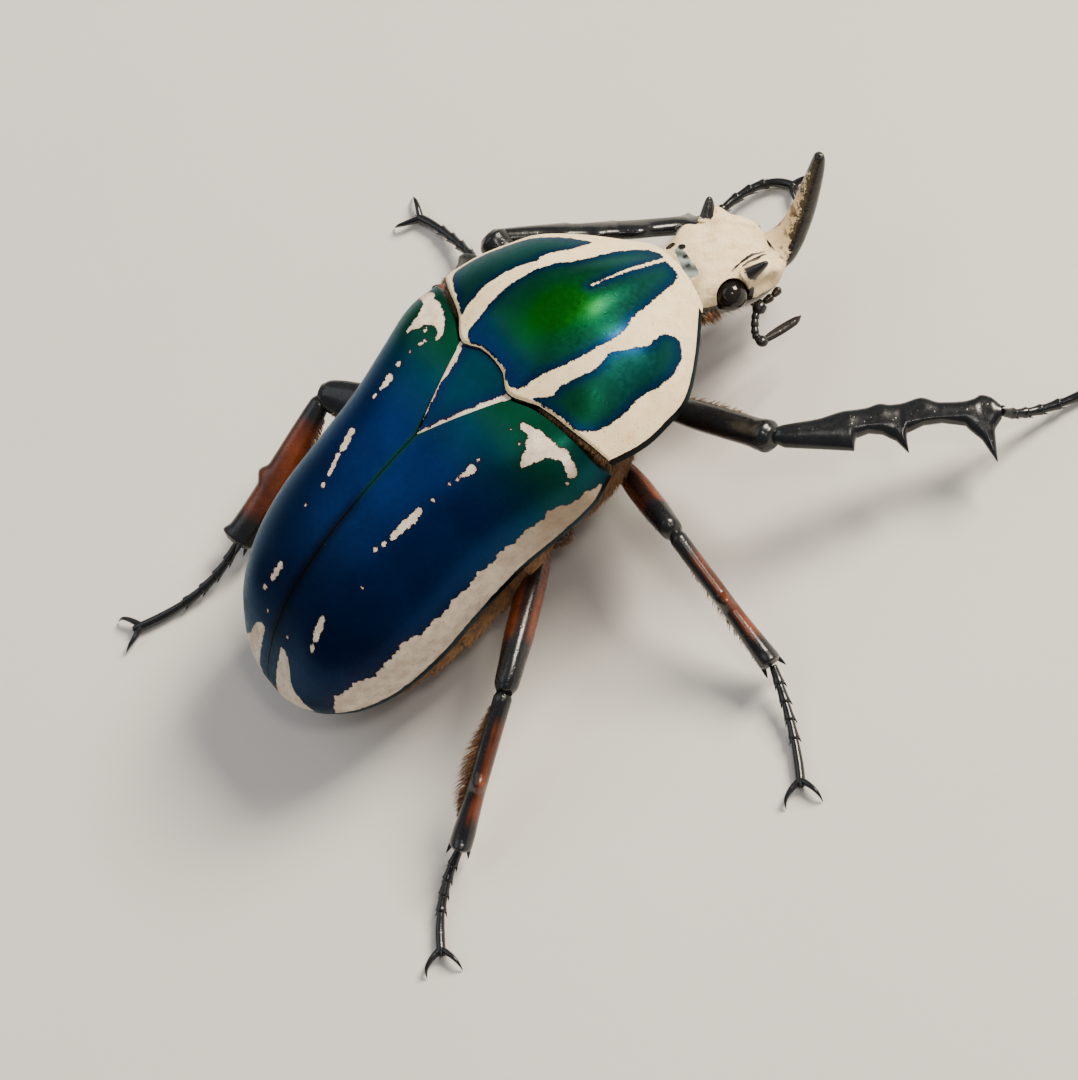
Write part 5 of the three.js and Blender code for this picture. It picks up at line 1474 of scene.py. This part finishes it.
def build_gap_hair():
    """Down that fills the seam between the pronotum and the elytra."""
    strands = []
    for side in (1, -1):
        count = 1000
        a = random.uniform(0.5, 0.995, count)
        root = pronotum_points(np.full(count, 0.0), side * a, 0.55)
        root[:, 0] += random.uniform(0.05, 0.7, count)
        ahead = pronotum_points(np.full(count, 0.03), side * a, 0.55)
        back = unit(root - ahead)
        direction = back * 0.9 + np.array([0, side * 0.35, 0.15]) + random.normal(scale=0.2, size=(count, 3))
        uv = np.stack([a, np.full(count, 0.3 + 0.2 * side)], -1) * 0.9
        lengths = random.uniform(0.4, 0.8, count) * (0.3 + 0.9 * a)
        turned = direction @ PROTHORAX[:3, :3].T
        droop = np.broadcast_to([-0.1, 0, -0.35], (count, 3))
        strands.append((carry(PROTHORAX, root), turned, lengths, droop, uv, golden(count, 2.0) * 0.7))
    build_hair("seam_hair", strands, HAIR, 0.07)


# Light, floor and camera, in metres

FLOOR_HALF = 3.0
LAMPS = {
    "key": {"direction": (0.40, 0.74, 0.54), "size": 0.32, "power": 19.0, "colour": (1.0, 0.90, 0.74)},
    "sky": {"direction": (-0.8, 0.45, 0.4), "size": 0.7, "power": 2.0, "colour": (0.92, 0.95, 1.0)},
    "fill": {"direction": (0.13, 0.22, 0.97), "size": 0.12, "power": 1.3, "colour": (1.0, 0.94, 0.86)},
}
LAMP_DISTANCE = 0.9
WORLD_GREY = 0.92
WORLD_STRENGTH = 0.28


def build_stage():
    """The plain pale floor."""
    n = Nodes("pale_floor")
    tone = n.mix(n.cloud(60, 3.0, 0.3, 0.7), (0.72, 0.69, 0.65, 1), (0.76, 0.73, 0.69, 1))
    n.set(Base_Color=tone, Roughness=0.9, Normal=n.bump(n.noise(1.5, 3.0), 0.05, 0.3))
    corners = [(FLOOR_HALF * x, FLOOR_HALF * y, 0) for x, y in ((-1, -1), (1, -1), (1, 1), (-1, 1))]
    mesh = bpy.data.meshes.new("floor")
    mesh.from_pydata(corners, [], [(0, 1, 2, 3)])
    mesh.materials.append(n.material)
    floor = bpy.data.objects.new("floor", mesh)
    bpy.context.scene.collection.objects.link(floor)


def view_axes():
    """Right, up and back directions of the photo's view."""
    azimuth, elevation = math.radians(CAMERA_AZIMUTH), math.radians(CAMERA_ELEVATION)
    back = np.array([math.sin(azimuth) * math.cos(elevation), -math.cos(azimuth) * math.cos(elevation),
                     math.sin(elevation)])
    flat = np.array([math.cos(azimuth), math.sin(azimuth), 0])
    high = np.cross(back, flat)
    roll = math.radians(CAMERA_ROLL)
    right = flat * math.cos(roll) + high * math.sin(roll)
    return right, np.cross(back, right), back


def build_camera():
    """The camera at the photo's angle."""
    right, up, back = view_axes()
    camera = bpy.data.objects.new("camera", bpy.data.cameras.new("camera"))
    bpy.context.scene.collection.objects.link(camera)
    place = AIM + back * CAMERA_DISTANCE * MM
    camera.matrix_world = Matrix([(right[k], up[k], back[k], place[k]) for k in range(3)] + [(0, 0, 0, 1)])
    camera.data.lens = CAMERA_LENS
    camera.data.sensor_width = SENSOR
    camera.data.clip_start = 0.01
    camera.data.clip_end = 10
    bpy.context.scene.camera = camera


def add_light(name, direction, size, power, colour):
    """A soft square lamp aimed at the beetle, placed along right, up and back of the view."""
    right, up, back = view_axes()
    way = unit(right * direction[0] + up * direction[1] + back * direction[2])
    lamp = bpy.data.lights.new(name, "AREA")
    lamp.size = size
    lamp.energy = power
    lamp.color = colour
    light = bpy.data.objects.new(name, lamp)
    bpy.context.scene.collection.objects.link(light)
    light.location = Vector(AIM + way * LAMP_DISTANCE)
    light.rotation_mode = "QUATERNION"
    light.rotation_quaternion = Vector(-way).to_track_quat("-Z", "Y")


def build_light():
    """The lamps and an even pale grey surround."""
    for name, lamp in LAMPS.items():
        add_light(name, **lamp)
    world = bpy.data.worlds.new("studio")
    bpy.context.scene.world = world
    world.use_nodes = True
    background = world.node_tree.nodes["Background"]
    background.inputs["Color"].default_value = (WORLD_GREY, WORLD_GREY, WORLD_GREY, 1)
    background.inputs["Strength"].default_value = WORLD_STRENGTH


build_pronotum()
build_scutellum()
build_elytron(1, "elytron_left", SPOTS_LEFT, HOOK_LEFT)
build_elytron(-1, "elytron_right", SPOTS_RIGHT, HOOK_RIGHT)
abdomen_rings = build_abdomen()
build_pygidium()
thorax_rings = build_thorax()
prothorax_rings = build_prothorax()
head = build_head()
build_horn()
build_face_parts()
leg_rings = {name: build_leg(name, data) for name, data in LEGS.items()}
build_body_hair(abdomen_rings, thorax_rings, prothorax_rings)
build_leg_hair(leg_rings)
build_head_hair(head)
build_gap_hair()
build_stage()
build_camera()
build_light()
